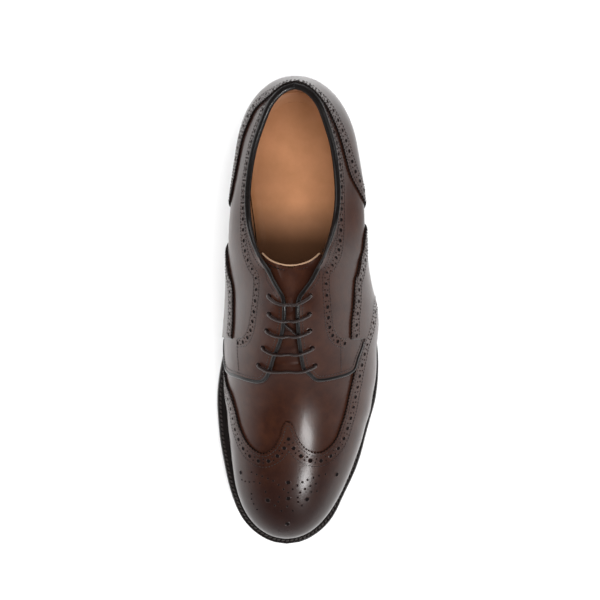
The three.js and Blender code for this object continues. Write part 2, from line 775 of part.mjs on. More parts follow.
// Points of the run that crosses over the tongue
function crossing(fromSide, fromRow, toRow) {
  const from = eyelets[fromRow];
  const to = eyelets[toRow];
  const at = (t) => from.at + (to.at - from.at) * t;
  const fromUp = from[sideName(fromSide)];
  const toUp = to[sideName(-fromSide)];
  return [
    laceSpot(fromSide, at(0.12), fromUp + 0.04, laceUnder),
    laceSpot(fromSide, at(0.32), 0.955, laceUnder),
    laceSpot(fromSide, at(0.5), 0.999, laceUnder),
    laceSpot(-fromSide, at(0.68), 0.955, laceUnder),
    laceSpot(-fromSide, at(0.88), toUp + 0.04, laceUnder),
  ];
}

const lacePoints = [
  ...bar(1, 1), ...crossing(-1, 1, 3), ...bar(3, 1), ...run(-1, 3, 4), ...bar(4, -1),
  ...run(1, 4, 2), ...bar(2, 1), ...run(-1, 2, 0), ...bar(0, -1),
];
const laceSection = new THREE.Shape(steps(0, laceSides - 1, laceSides - 1).map((k) => {
  const angle = (k / laceSides) * 2 * Math.PI;
  return new THREE.Vector2(Math.cos(angle), Math.sin(angle)).multiplyScalar(laceDiameter / 2);
}));
const laceCurve = new ThreadedCurve(lacePoints, false, 'centripetal');
const laceGeometry = new THREE.ExtrudeGeometry(laceSection, {
  steps: (lacePoints.length - 1) * 1,
  bevelEnabled: false,
  extrudePath: laceCurve,
});
addNode('lace', solidOf(laceGeometry), 0x2a1712, 0.5);

// A ring stud of the sole with its round recess, on a spot of an underside
function ringStud(place, across, height) {
  const outer = studDiameter / 2;
  const inner = studRecessDiameter / 2;
  const profile = [
    [0, studRecessDepth], [inner, studRecessDepth], [inner + studDraft, 0],
    [outer - studDraft, 0], [outer, studHeight], [outer, studHeight + studRoot],
    [0, studHeight + studRoot],
  ];
  const geometry = new THREE.LatheGeometry(
    profile.map(([r, z]) => new THREE.Vector2(r, z)), studSides);
  geometry.rotateX(Math.PI / 2);
  const slope = (height(place + 1) - height(place - 1)) / 2;
  geometry.translate(0, 0, -studHeight);
  geometry.rotateX(-Math.atan(slope));
  const lowest = height(place) - studHeight - outer * Math.abs(slope);
  const spot = locate(across * ballWidth + axisShift, place, height(place) - Math.min(lowest, 0));
  geometry.translate(spot.x, spot.y, spot.z);
  return solidOf(geometry);
}

// Studs under the forefoot
const forefootStuds = [
  { place: 0.916, across: -0.101 }, { place: 0.855, across: 0.051 },
  { place: 0.845, across: -0.228 }, { place: 0.764, across: 0.18 },
  { place: 0.781, across: -0.051 }, { place: 0.765, across: -0.276 },
  { place: 0.671, across: 0.229 }, { place: 0.682, across: -0.013 },
  { place: 0.682, across: -0.262 }, { place: 0.581, across: 0.242 },
  { place: 0.569, across: 0.006 }, { place: 0.601, across: -0.225 },
];

// Outsole
const rubber = 0x3a3634;
let outsole = slabBetween([
  { inset: edgeChamfer, height: (s) => soleBottom(s) },
  { inset: 0, height: (s) => soleBottom(s) + edgeChamfer },
  { inset: 0, height: (s) => soleBottom(s) + soleThickness },
]);
for (const { place, across } of forefootStuds) {
  outsole = outsole.add(ringStud(place * length, across, soleBottom));
}
addNode('outsole', outsole, rubber, 0.8);

// Welt: a ring from under the upper's edge to just inside the sole's edge
const weltSheet = new Sheet();
for (const side of [-1, 1]) {
  weltSheet.grid(bottomStations.map((at) => {
    const outer = outlinePoint(side, at, weltInset);
    const inner = outlinePoint(side, at, featherInset(at) + wallThickness);
    const spot = (plan, lift) => locate(plan.x, plan.y, welt(plan.y) + lift);
    return [
      spot(outer, 0), spot(outer, weltThickness), spot(inner, weltThickness),
      spot(inner, 0), spot(outer, 0),
    ];
  }), side > 0);
}
addNode('welt', solidFrom(weltSheet.points, weltSheet.faces), 0x231a17, 0.6);

// Insole inside the welt, its top a little above the foot of the upper
const insoleInset = wallThickness + clearance;
addNode('insole', slabBetween([
  { inset: (at) => featherInset(at) + insoleInset, height: welt },
  { inset: (at) => featherInset(at) + insoleInset, height: (s) => welt(s) + insoleThickness },
]), 0xb5794a, 0.6);

// Outline of the heel, closed by its hollow breast
function heelLoop(inset, height) {
  const end = breastEnd / length;
  const ats = steps(0, 1, 14).map((k) => end * (1 - Math.cos((k * Math.PI) / 2)) ** 0.9);
  const points = [];
  for (const side of [-1, 1]) {
    const half = ats.map((at) => outlinePoint(side, at, inset));
    points.push(...(side < 0 ? half.reverse() : half.slice(1)));
  }
  const from = points[points.length - 1];
  const to = points[0];
  for (const t of steps(0, 1, 8).slice(1, -1)) {
    const plan = from.clone().lerp(to, t);
    plan.y -= breastHollow * 4 * t * (1 - t);
    points.push(plan);
  }
  return points.map((plan) => locate(plan.x, plan.y, height));
}

// A closed solid between two loops of points, one above the other
function loopSolid(low, high) {
  const n = low.length;
  const flat = low.map((p) => new THREE.Vector2(p.x, p.y));
  const onward = THREE.ShapeUtils.area(flat) > 0;
  const faces = [];
  for (const [a, b, c] of THREE.ShapeUtils.triangulateShape(flat, [])) {
    const turned = THREE.ShapeUtils.area([flat[a], flat[b], flat[c]]) > 0 ? [a, b, c] : [a, c, b];
    faces.push([...turned].reverse(), turned.map((k) => k + n));
  }
  for (let k = 0; k < n; k += 1) {
    const next = (k + 1) % n;
    const [a, b] = onward ? [k, next] : [next, k];
    faces.push([a, b, b + n], [a, b + n, a + n]);
  }
  return solidFrom([...low, ...high], faces);
}

const topPieceTop = studHeight + topPieceThickness;
addNode('heel_block', loopSolid(
  heelLoop(heelTaper, topPieceTop + clearance),
  heelLoop(weltInset, heelHeight - clearance),
), 0x2e2725, 0.7);

// Heel top piece with its studs and nail holes
const heelStuds = [
  { place: 0.187, across: 0.151 }, { place: 0.192, across: -0.168 },
  { place: 0.113, across: -0.024 },
];
const heelNails = [
  { place: 0.221, across: 0.285 }, { place: 0.22, across: -0.002 },
  { place: 0.232, across: -0.285 }, { place: 0.138, across: 0.236 },
  { place: 0.147, across: -0.268 }, { place: 0.058, across: 0.146 },
  { place: 0.065, across: -0.209 }, { place: 0.025, across: -0.037 },
];
let topPiece = loopSolid(
  heelLoop(heelTaper, studHeight),
  heelLoop(heelTaper, topPieceTop),
);
for (const { place, across } of heelStuds) {
  topPiece = topPiece.add(ringStud(place * length, across, () => studHeight));
}
for (const { place, across } of heelNails) {
  const hole = new THREE.CylinderGeometry(nailDiameter / 2, nailDiameter / 2, nailDepth * 2, nailSides);
  hole.rotateX(Math.PI / 2);
  const spot = locate(across * ballWidth + axisShift, place * length, studHeight);
  hole.translate(spot.x, spot.y, spot.z);
  topPiece = topPiece.subtract(solidOf(hole));
}
addNode('heel_top_piece', topPiece, 0x453f3c, 0.8);

export default group;
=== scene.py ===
import math

import bpy
import numpy as np
from bpy.props import FloatProperty, FloatVectorProperty, PointerProperty
from bpy.types import Operator, Panel, PropertyGroup
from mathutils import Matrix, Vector
from mathutils.bvhtree import BVHTree


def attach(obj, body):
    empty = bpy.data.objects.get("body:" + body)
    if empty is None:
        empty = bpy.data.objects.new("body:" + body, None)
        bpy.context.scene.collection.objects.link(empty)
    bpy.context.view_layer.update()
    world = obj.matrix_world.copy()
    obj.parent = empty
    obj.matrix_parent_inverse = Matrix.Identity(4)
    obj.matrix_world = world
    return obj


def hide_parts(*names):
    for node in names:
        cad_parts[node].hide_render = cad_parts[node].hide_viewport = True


bl_info = {
    "name": "Full brogue derby shoe",
    "version": (1, 0, 0),
    "blender": (4, 5, 0),
    "location": "View3D > Sidebar > Shoe",
    "description": "Builds a left brogue derby shoe piece by piece round its packed solids",
    "category": "Mesh",
}

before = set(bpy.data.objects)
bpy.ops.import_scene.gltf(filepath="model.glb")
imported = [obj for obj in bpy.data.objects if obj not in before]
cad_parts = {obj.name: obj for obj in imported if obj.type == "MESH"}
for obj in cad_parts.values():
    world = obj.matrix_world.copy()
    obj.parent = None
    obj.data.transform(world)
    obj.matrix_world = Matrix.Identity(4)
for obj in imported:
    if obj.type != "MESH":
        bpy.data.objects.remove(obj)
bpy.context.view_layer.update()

MM = 0.001

# Sizes of the last and the bottom, in millimetres, as in the part's source
LENGTH = 302.5
BALL_WIDTH = 107
HEEL_HEIGHT = 24
INSTEP_HEIGHT = 109.5
BACK_HEIGHT = 96
ANKLE_HEIGHT = 84
ANKLE_DROP = 5.5
TOE_SPRING = 10.5
STUD_HEIGHT = 1.2
CLEARANCE = 0.3
AXIS_SHIFT = 1.47
BREAST_END = 87
WAIST_START = 90
TREAD_START = 164
TREAD_END = 224
HEEL_ROUNDING = 45
TOE_ROUNDING = 80
HEEL_OVERHANG = 3.4
TOE_OVERHANG = 6.5
CROWN_ROUNDING = 46
FOOT_ALLOWANCE = 1
SOLE_THICKNESS = 6.9
WELT_THICKNESS = 3
INSOLE_THICKNESS = 4.4
WALL = 2
OVERLAY = 1.3
TRIM = 1.1
TONGUE_THICKNESS = 1.8
TOP_PIECE = 5.5
BULGE_SHARE = 0.3
RIDGE_START = 0.444
TONGUE_BACK = 0.38
COLLAR_FRONT = 118
TONGUE_FRONT = 0.632
TONGUE_SINK = 3.8
TAB_BACK = 0.558
PANEL_START = 0.3
COUNTER_END = 0.284
TAIL_CLIMB_END = 158
TAIL_CLIMB_START = 176

QUARTER_LEVEL = CLEARANCE + OVERLAY
TRIM_LEVEL = QUARTER_LEVEL + CLEARANCE + TRIM


class Table:
    """Named columns over one running value, read along a smooth curve."""

    def __init__(self, names, *rows):
        self.columns = dict(zip(names.split(), np.array(rows, float).T))

    def read(self, name, at):
        x = self.columns["at"]
        y = self.columns[name]
        at = np.clip(np.asarray(at, float), x[0], x[-1])
        k = np.arange(len(x))
        before = np.maximum(k - 1, 0)
        after = np.minimum(k + 1, len(x) - 1)
        slope = (y[after] - y[before]) / (x[after] - x[before])
        i = np.clip(np.searchsorted(x, at, side="right") - 1, 0, len(x) - 2)
        span = x[i + 1] - x[i]
        t = (at - x[i]) / span
        bend = t * t * (3 - 2 * t)
        lean = slope[i] * span * t * (1 - t) ** 2 - slope[i + 1] * span * t * t * (1 - t)
        return y[i] * (1 - bend) + y[i + 1] * bend + lean

    def side(self, side, at):
        side = np.asarray(side, float)
        return np.where(side < 0, self.read("medial", at), self.read("lateral", at))


SOLE_OUTLINE = Table(
    "at axis medial lateral inset",
    (0, -0.028, 0.348, 0.355, 0.068), (0.05, -0.031, 0.351, 0.361, 0.07),
    (0.12, -0.034, 0.339, 0.369, 0.064), (0.2, -0.039, 0.331, 0.387, 0.054),
    (0.265, -0.043, 0.298, 0.393, 0.045), (0.33, -0.048, 0.262, 0.404, 0.038),
    (0.4, -0.054, 0.239, 0.427, 0.034), (0.465, -0.056, 0.275, 0.467, 0.04),
    (0.53, -0.06, 0.359, 0.52, 0.06), (0.6, -0.063, 0.419, 0.548, 0.074),
    (0.68, -0.068, 0.444, 0.539, 0.08), (0.76, -0.072, 0.43, 0.486, 0.084),
    (0.83, -0.074, 0.421, 0.46, 0.086), (0.9, -0.078, 0.431, 0.437, 0.088),
    (0.96, -0.08, 0.458, 0.458, 0.088), (1, -0.081, 0.461, 0.46, 0.088),
)
BULGE = Table(
    "at medial lateral height rise reach",
    (0, 0.305, 0.32, 0.19, 0.36, 0.36), (0.12, 0.31, 0.34, 0.2, 0.36, 0.36),
    (0.2, 0.33, 0.378, 0.215, 0.36, 0.34), (0.255, 0.349, 0.403, 0.225, 0.36, 0.34),
    (0.38, 0.364, 0.43, 0.235, 0.32, 0.28), (0.45, 0.367, 0.464, 0.225, 0.3, 0.24),
    (0.5, 0.372, 0.502, 0.205, 0.32, 0.26), (0.58, 0.386, 0.512, 0.165, 0.38, 0.32),
    (0.64, 0.385, 0.514, 0.145, 0.44, 0.38), (0.7, 0.374, 0.495, 0.13, 0.48, 0.42),
    (0.76, 0.35, 0.456, 0.12, 0.5, 0.44), (0.83, 0.35, 0.423, 0.11, 0.52, 0.46),
    (0.9, 0.37, 0.404, 0.1, 0.54, 0.48), (0.96, 0.396, 0.402, 0.088, 0.55, 0.5),
    (1, 0.41, 0.41, 0.078, 0.55, 0.5),
)
TOP_LINE = Table(
    "at place half back ankle instep lean",
    (0, 0.0385, 0.18, 1, 0, 0, 76), (0.045, 0.073, 0.192, 0.97, 0.015, 0, 74),
    (0.09, 0.111, 0.2, 0.8, 0.17, 0, 71), (0.18, 0.192, 0.245, 0.25, 0.73, 0, 66),
    (0.25, 0.256, 0.261, 0, 1, 0, 62), (0.3, 0.302, 0.252, 0, 0.97, 0.03, 58),
    (0.345, 0.345, 0.223, 0, 0.83, 0.19, 52), (0.375, 0.374, 0.187, 0, 0.6, 0.41, 46),
    (0.4, 0.391, 0.14, 0, 0.3, 0.71, 34), (0.42, 0.4, 0.082, 0, 0.09, 0.9, 18),
    (0.435, 0.4035, 0.032, 0, 0.01, 0.975, 6), (0.445, 0.405, 0, 0, 0, 0.985, 0),
    (0.455, 0.419, 0, 0, 0, 0.99, 0), (0.48, 0.46, 0, 0, 0, 0.995, 0),
    (0.51, 0.5, 0, 0, 0, 0.957, 0), (0.56, 0.55, 0, 0, 0, 0.872, 0),
    (0.62, 0.612, 0, 0, 0, 0.767, 0), (0.69, 0.683, 0, 0, 0, 0.65, 0),
    (0.76, 0.755, 0, 0, 0, 0.571, 0), (0.83, 0.826, 0, 0, 0, 0.522, 0),
    (0.9, 0.889, 0, 0, 0, 0.478, 0), (1, 0.9785, 0, 0, 0, 0.43, 0),
)
FACING_EDGE = Table(
    "at medial lateral",
    (0.355, 1.05, 1.05), (0.388, 0.975, 0.955), (0.42, 0.91, 0.885), (0.453, 0.85, 0.838),
    (0.469, 0.905, 0.893), (0.484, 0.955, 0.946), (0.505, 0.967, 0.956),
    (0.545, 0.957, 0.952), (0.572, 0.937, 0.946), (0.6, 0.905, 0.938),
)
SIDE_PANEL_EDGE = Table(
    "at medial lateral",
    (0.3, 0, 0.02), (0.315, 0.06, 0.25), (0.335, 0.15, 0.385), (0.365, 0.3, 0.45),
    (0.39, 0.41, 0.515), (0.45, 0.5, 0.572), (0.515, 0.545, 0.637), (0.56, 0.551, 0.649),
)
COUNTER_EDGE = Table(
    "at medial lateral",
    (0, 0.985, 0.985), (0.03, 0.93, 0.97), (0.064, 0.71, 0.893), (0.092, 0.665, 0.85),
    (0.122, 0.62, 0.819), (0.16, 0.58, 0.77), (0.2, 0.53, 0.7), (0.23, 0.48, 0.58),
    (0.258, 0.4, 0.4), (0.274, 0.2, 0.2), (0.284, 0, 0),
)
TONGUE_EDGE = Table(
    "at medial lateral",
    (0.375, 0.97, 0.97), (0.39, 0.87, 0.87), (0.41, 0.74, 0.74), (0.44, 0.65, 0.65),
    (0.5, 0.62, 0.65), (0.56, 0.63, 0.68), (0.632, 0.68, 0.74),
)
WING_EDGE = Table(
    "at medial lateral",
    (-0.1, 0.455, 0.46), (0.08, 0.47, 0.462), (0.15, 0.5, 0.463), (0.2, 0.54, 0.464),
    (0.25, 0.59, 0.465), (0.3, 0.625, 0.466), (0.4, 0.655, 0.478), (0.45, 0.667, 0.499),
    (0.52, 0.686, 0.548), (0.575, 0.735, 0.592), (0.625, 0.762, 0.64), (0.65, 0.773, 0.7),
    (0.68, 0.782, 0.76), (0.745, 0.794, 0.79), (0.83, 0.799, 0.798), (0.91, 0.785, 0.784),
    (0.952, 0.764, 0.762), (0.977, 0.738, 0.738), (1, 0.729, 0.729),
)
TAB_FRONT = Table(
    "at medial lateral",
    (0.29, 0.558, 0.558), (0.37, 0.598, 0.558), (0.44, 0.626, 0.558), (0.533, 0.636, 0.559),
    (0.56, 0.637, 0.578), (0.6, 0.638, 0.602), (0.623, 0.639, 0.622), (0.673, 0.641, 0.632),
    (0.75, 0.645, 0.638), (0.825, 0.646, 0.642), (0.865, 0.637, 0.641), (0.892, 0.616, 0.63),
    (0.91, 0.594, 0.624), (0.928, 0.58, 0.616), (0.946, 0.562, 0.572), (0.965, 0.54, 0.535),
)
EYELETS = Table(
    "at medial lateral",
    (0.481, 0.858, 0.881), (0.508, 0.869, 0.891), (0.54, 0.859, 0.891),
    (0.576, 0.839, 0.88), (0.611, 0.813, 0.867),
)
# The band of holes on each quarter, where it has left the top line
QUARTER_BAND = Table(
    "run at medial lateral",
    (0, 0.418, 0.765, 0.79), (1, 0.44, 0.752, 0.775), (2, 0.464, 0.755, 0.78),
    (3, 0.495, 0.753, 0.785), (4, 0.532, 0.744, 0.782), (5, 0.551, 0.728, 0.768),
    (6, 0.566, 0.69, 0.735), (7, 0.568, 0.623, 0.69),
)
# Soft creases of wear over the flex of the vamp: place, tilt across and depth
CREASES = (
    {"place": 0.655, "tilt": 0.1, "depth": 0.35, "width": 4.5},
    {"place": 0.692, "tilt": -0.06, "depth": 0.45, "width": 5.5},
    {"place": 0.728, "tilt": 0.08, "depth": 0.3, "width": 5},
)


def ease(low, high, x):
    t = np.clip((np.asarray(x, float) - low) / (high - low), 0, 1)
    return t * t * (3 - 2 * t)


def end_rounding(at):
    heel = np.maximum(1 - at * LENGTH / HEEL_ROUNDING, 0)
    toe = np.maximum(1 - (1 - at) * LENGTH / TOE_ROUNDING, 0)
    return np.sqrt(np.maximum(1 - heel ** 2, 0)) * np.sqrt(np.maximum(1 - toe ** 2, 0))


def sole_bottom(place):
    waist = (HEEL_HEIGHT - STUD_HEIGHT) * (1 - ease(WAIST_START, TREAD_START, place))
    beyond = np.maximum((np.asarray(place, float) - TREAD_END) / (LENGTH - TREAD_END), 0)
    return STUD_HEIGHT + waist + TOE_SPRING * beyond ** 1.6


def welt_height(place):
    return sole_bottom(place) + SOLE_THICKNESS + CLEARANCE


def feather_height(place):
    return welt_height(place) + WELT_THICKNESS + CLEARANCE


def axis_at(at):
    return SOLE_OUTLINE.read("axis", at) * BALL_WIDTH + AXIS_SHIFT


def locate(x, place, z):
    return np.stack(np.broadcast_arrays(x, LENGTH / 2 - np.asarray(place, float), z), -1)


def outline_point(side, at, inward):
    """Plan position (x, place) on the sole's edge, moved inward."""
    side, at, inward = np.broadcast_arrays(*(np.asarray(v, float) for v in (side, at, inward)))

    def point(share):
        half = SOLE_OUTLINE.side(side, share) * BALL_WIDTH * end_rounding(share)
        return np.stack([axis_at(share) + side * half, share * LENGTH], -1)

    step = 0.0005
    run = point(np.minimum(at + step, 1)) - point(np.maximum(at - step, 0))
    run[at <= 0] = np.stack([side, 0 * side], -1)[at <= 0]
    run[at >= 1] = np.stack([-side, 0 * side], -1)[at >= 1]
    run /= np.linalg.norm(run, axis=-1, keepdims=True)
    normal = np.stack([-run[..., 1] * side, run[..., 0] * side], -1)
    return point(at) + normal * inward[..., None]


def feather_inset(at):
    return SOLE_OUTLINE.read("inset", at) * BALL_WIDTH


def last_point(side, at, up):
    """Outside of the last: along it from heel to toe, up it from the welt to the top line."""
    side, at, up = np.broadcast_arrays(*(np.asarray(v, float) for v in (side, at, up)))
    plan = outline_point(side, at, feather_inset(at))
    low = np.stack([plan[..., 0], plan[..., 1], feather_height(plan[..., 1]) - FOOT_ALLOWANCE], -1)
    place = HEEL_OVERHANG + at * (LENGTH - HEEL_OVERHANG - TOE_OVERHANG)
    half = BULGE.side(side, at) * BALL_WIDTH * end_rounding(at)
    height = feather_height(place) + BULGE.read("height", at) * INSTEP_HEIGHT
    wide = np.stack([axis_at(at) + side * half, place, height], -1)
    top_half = TOP_LINE.read("half", at) * BALL_WIDTH * end_rounding(at)
    level = (TOP_LINE.read("back", at) * BACK_HEIGHT
             + TOP_LINE.read("ankle", at) * (ANKLE_HEIGHT - ANKLE_DROP * (side > 0))
             + TOP_LINE.read("instep", at) * INSTEP_HEIGHT)
    toe = np.maximum(1 - (1 - at) * LENGTH / CROWN_ROUNDING, 0)
    crown = np.maximum(1 - toe ** 2.3, 0) ** (1 / 2.3)
    top = np.stack([
        axis_at(at) + side * top_half,
        TOP_LINE.read("place", at) * LENGTH,
        height + (level - height) * crown,
    ], -1)
    turn = np.clip(up / BULGE_SHARE, 0, 1) * (math.pi / 2)
    out = np.sin(turn)[..., None]
    climb = (1 - np.cos(turn))
    foot = low + (wide - low) * np.concatenate([out, out, climb[..., None]], -1)
    t = np.clip((up - BULGE_SHARE) / (1 - BULGE_SHARE), 0, None)[..., None]
    lean_degrees = TOP_LINE.read("lean", at)
    lean = np.radians(lean_degrees)
    ridge = 1 - ease(0, 30, lean_degrees)
    inward = np.stack([top[..., 0] - wide[..., 0], (top[..., 1] - wide[..., 1]) * (1 - ridge)], -1)
    size = np.linalg.norm(inward, axis=-1, keepdims=True)
    inward = inward / np.where(size > 0, size, 1)
    reach = BULGE.read("reach", at) * np.linalg.norm(top - wide, axis=-1)
    rise = BULGE.read("rise", at) * (top[..., 2] - wide[..., 2])
    first = wide.copy()
    first[..., 2] += rise
    second = top.copy()
    second[..., 0] -= inward[..., 0] * np.cos(lean) * reach
    second[..., 1] -= inward[..., 1] * np.cos(lean) * reach
    second[..., 2] -= np.sin(lean) * reach
    arc = (wide * (1 - t) ** 3 + first * 3 * t * (1 - t) ** 2
           + second * 3 * t * t * (1 - t) + top * t ** 3)
    point = np.where((up <= BULGE_SHARE)[..., None], foot, arc)
    return locate(point[..., 0], point[..., 1], point[..., 2])


def last_normal(side, at, up):
    side, at, up = np.broadcast_arrays(*(np.asarray(v, float) for v in (side, at, up)))
    step = 0.002
    along = (last_point(side, np.minimum(at + step, 1), up)
             - last_point(side, np.maximum(at - step, 0), up))
    across = (last_point(side, at, np.minimum(up + step, 1))
              - last_point(side, at, np.maximum(up - step, 0)))
    normal = -np.cross(along, across) * side[..., None]
    size = np.linalg.norm(normal, axis=-1, keepdims=True)
    return normal / np.where(size > 0, size, 1)


def place_of(points):
    return LENGTH / 2 - points[..., 1]


def crease_depth(points):
    """Soft troughs and ridges across the flex of the vamp."""
    place = place_of(points)
    x = points[..., 0] - AXIS_SHIFT
    depth = np.zeros(place.shape)
    for crease in CREASES:
        run = place - crease["place"] * LENGTH - crease["tilt"] * x
        swell = np.exp(-(run / crease["width"]) ** 2)
        ridge = 0.45 * np.exp(-((run - 1.9 * crease["width"]) / crease["width"]) ** 2)
        depth += crease["depth"] * (ridge - swell) * (1 - 0.5 * np.exp(-(x / 24) ** 2))
    return depth


def wing_lift(points):
    return 1 - ease(TAIL_CLIMB_END, TAIL_CLIMB_START, place_of(points))


def wing_base(points):
    return CLEARANCE + (QUARTER_LEVEL - CLEARANCE + CLEARANCE) * wing_lift(points)


def wing_level(points):
    return QUARTER_LEVEL + (TRIM_LEVEL - QUARTER_LEVEL) * wing_lift(points)


def tongue_depth(points):
    return TONGUE_SINK * (1 - ease(183, 190, place_of(points)))


# Where each panel lies: above nothing inside its edge, below nothing outside
def quarter_field(side, at, up):
    facing = np.where(at > 0.6, 9, FACING_EDGE.side(side, at) - up)
    front = TAB_FRONT.side(side, up) - at
    return np.minimum(facing * 90, front * LENGTH)


def wing_field(side, at, up):
    return (at - WING_EDGE.side(side, up)) * LENGTH


def side_panel_field(side, at, up):
    top = (SIDE_PANEL_EDGE.side(side, at) - up) * 100
    back = (at - PANEL_START) * LENGTH
    front = np.minimum(TAB_BACK - at, WING_EDGE.side(side, up) + 0.002 - at) * LENGTH
    return np.minimum(np.minimum(top, back), front)


def counter_field(side, at, up):
    return np.minimum((COUNTER_EDGE.side(side, at) - up) * 100, (COUNTER_END - at) * LENGTH)


def upper_field(side, at, up):
    slot = np.minimum((up - TONGUE_EDGE.side(side, at)) * 100, (at - TONGUE_BACK + 0.008) * LENGTH)
    return -np.minimum(slot, (TONGUE_FRONT - 0.004 - at) * LENGTH)


def tongue_field(side, at, up):
    ends = np.minimum(at - TONGUE_BACK, 0.65 - at) * LENGTH
    return np.minimum((up - TONGUE_EDGE.side(side, at)) * 100, ends)


class Surface:
    """Part of the last's skin, cut along a field, with points shared where they meet."""

    def __init__(self, field, sides, at_range, up_range, cell):
        sides_of, ats_of, ups_of, self.faces = [], [], [], []
        rows = max(int((at_range[1] - at_range[0]) * LENGTH / cell), 2)
        columns = max(int((up_range[1] - up_range[0]) * 100 / cell), 2)
        if at_range[0] <= 0 and at_range[1] >= 1:
            turn = np.linspace(0, math.pi, rows + 1)
            ats = 0.5 * np.linspace(0, 1, rows + 1) + 0.25 * (1 - np.cos(turn))
        elif at_range[0] <= 0:
            ats = at_range[1] * np.linspace(0, 1, rows + 1) ** 1.4
        elif at_range[1] >= 1:
            ats = 1 - (1 - at_range[0]) * np.linspace(1, 0, rows + 1) ** 1.4
        else:
            ats = np.linspace(*at_range, rows + 1)
        ups = np.linspace(*up_range, columns + 1)
        for side in sides:
            at, up = np.meshgrid(ats, ups, indexing="ij")
            value = field(side, at, up) if field else np.ones(at.shape)
            self._clip(side, at, up, value, sides_of, ats_of, ups_of)
        self.side = np.array(sides_of, float)
        self.at = np.array(ats_of)
        self.up = np.array(ups_of)
        base = last_point(self.side, self.at, self.up)
        normal = last_normal(self.side, self.at, self.up)
        keys = np.round(base * 200).astype(np.int64)
        _, first, index = np.unique(keys, axis=0, return_index=True, return_inverse=True)
        index = index.reshape(-1)
        summed = np.zeros((len(first), 3))
        np.add.at(summed, index, normal)
        size = np.linalg.norm(summed, axis=1, keepdims=True)
        self.normal = summed / np.where(size > 0, size, 1)
        self.base = base[first] + self.normal * crease_depth(base[first])[:, None]
        kept = []
        for face in self.faces:
            ring = []
            for k in face:
                mapped = int(index[k])
                if mapped not in ring:
                    ring.append(mapped)
            if len(ring) > 2:
                kept.append(tuple(ring))
        self.faces = kept
        self.soften(10)
        near = np.exp(-((place_of(self.base) - COLLAR_FRONT) / 15) ** 2)
        self.soften(60, share=(near * ease(30, 50, self.base[:, 2]))[:, None])

    def _clip(self, side, at, up, value, sides_of, ats_of, ups_of):
        known = {}

        def add(key, a, u):
            if key not in known:
                known[key] = len(sides_of)
                sides_of.append(side)
                ats_of.append(a)
                ups_of.append(u)
            return known[key]

        rows, columns = at.shape
        inside = value > 0
        for i in range(rows - 1):
            for j in range(columns - 1):
                corners = ((i, j), (i + 1, j), (i + 1, j + 1), (i, j + 1))
                flags = [inside[c] for c in corners]
                if not any(flags):
                    continue
                ring = []
                for k, corner in enumerate(corners):
                    after = corners[(k + 1) % 4]
                    if flags[k]:
                        ring.append(add(corner, at[corner], up[corner]))
                    if flags[k] != inside[after]:
                        a, b = sorted((corner, after))
                        t = value[a] / (value[a] - value[b])
                        ring.append(add((a, b), at[a] + (at[b] - at[a]) * t,
                                        up[a] + (up[b] - up[a]) * t))
                if len(ring) > 2:
                    self.faces.append(tuple(reversed(ring)) if side > 0 else tuple(ring))

    def boundary(self):
        edges = {}
        for face in self.faces:
            for k, a in enumerate(face):
                b = face[(k + 1) % len(face)]
                if (b, a) in edges:
                    del edges[(b, a)]
                else:
                    edges[(a, b)] = True
        return list(edges)

    def soften(self, times, edges=False, share=None):
        """Smooths the skin between its edges, and the edges along themselves if wanted."""
        pairs = np.array([(face[k], face[(k + 1) % len(face)])
                          for face in self.faces for k in range(len(face))])
        rim = np.array(self.boundary()).reshape(-1, 2)
        on_rim = np.zeros(len(self.base), bool)
        on_rim[rim.reshape(-1)] = True

        def average(values, links):
            total = np.zeros_like(values)
            count = np.zeros((len(values), 1))
            for a, b in ((0, 1), (1, 0)):
                np.add.at(total, links[:, a], values[links[:, b]])
                np.add.at(count, links[:, a], 1)
            return np.where(count > 0, total / np.maximum(count, 1), values)

        for _ in range(times):
            for values in (self.base, self.normal):
                mean = (values + average(values, pairs)) / 2
                held = (values + average(values, rim)) / 2 if edges and len(rim) else values
                mean[on_rim] = held[on_rim]
                values += (mean - values) * (1 if share is None else share)
        self.normal /= np.linalg.norm(self.normal, axis=1, keepdims=True)

    def offset(self, amount):
        moved = self.base + self.normal * np.asarray(amount, float).reshape(-1, 1)
        floor = feather_height(place_of(moved)) - 1.2
        moved[:, 2] = np.maximum(moved[:, 2], floor)
        return moved


class Build:
    """Points and faces of one piece, each face with its material and shading."""

    def __init__(self):
        self.points = []
        self.faces = []
        self.slots = []
        self.smooth = []
        self.count = 0

    def add(self, points, faces, slot=0, smooth=True):
        start = self.count
        self.points.append(np.asarray(points, float).reshape(-1, 3))
        self.count += len(self.points[-1])
        self.faces.extend(tuple(k + start for k in face) for face in faces)
        self.slots.extend([slot] * len(faces))
        self.smooth.extend([smooth] * len(faces))
        return start

    def piece(self, name, materials, slot, *nodes):
        mesh = bpy.data.meshes.new(name)
        mesh.from_pydata((np.concatenate(self.points) * MM).tolist(), [], self.faces)
        mesh.polygons.foreach_set("material_index", self.slots)
        mesh.polygons.foreach_set("use_smooth", self.smooth)
        for material in materials:
            mesh.materials.append(material)
        mesh.update()
        mesh.validate()
        piece = bpy.data.objects.new(name, mesh)
        bpy.context.scene.collection.objects.link(piece)
        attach(piece, "root")
        if nodes:
            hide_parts(*nodes)
        return piece


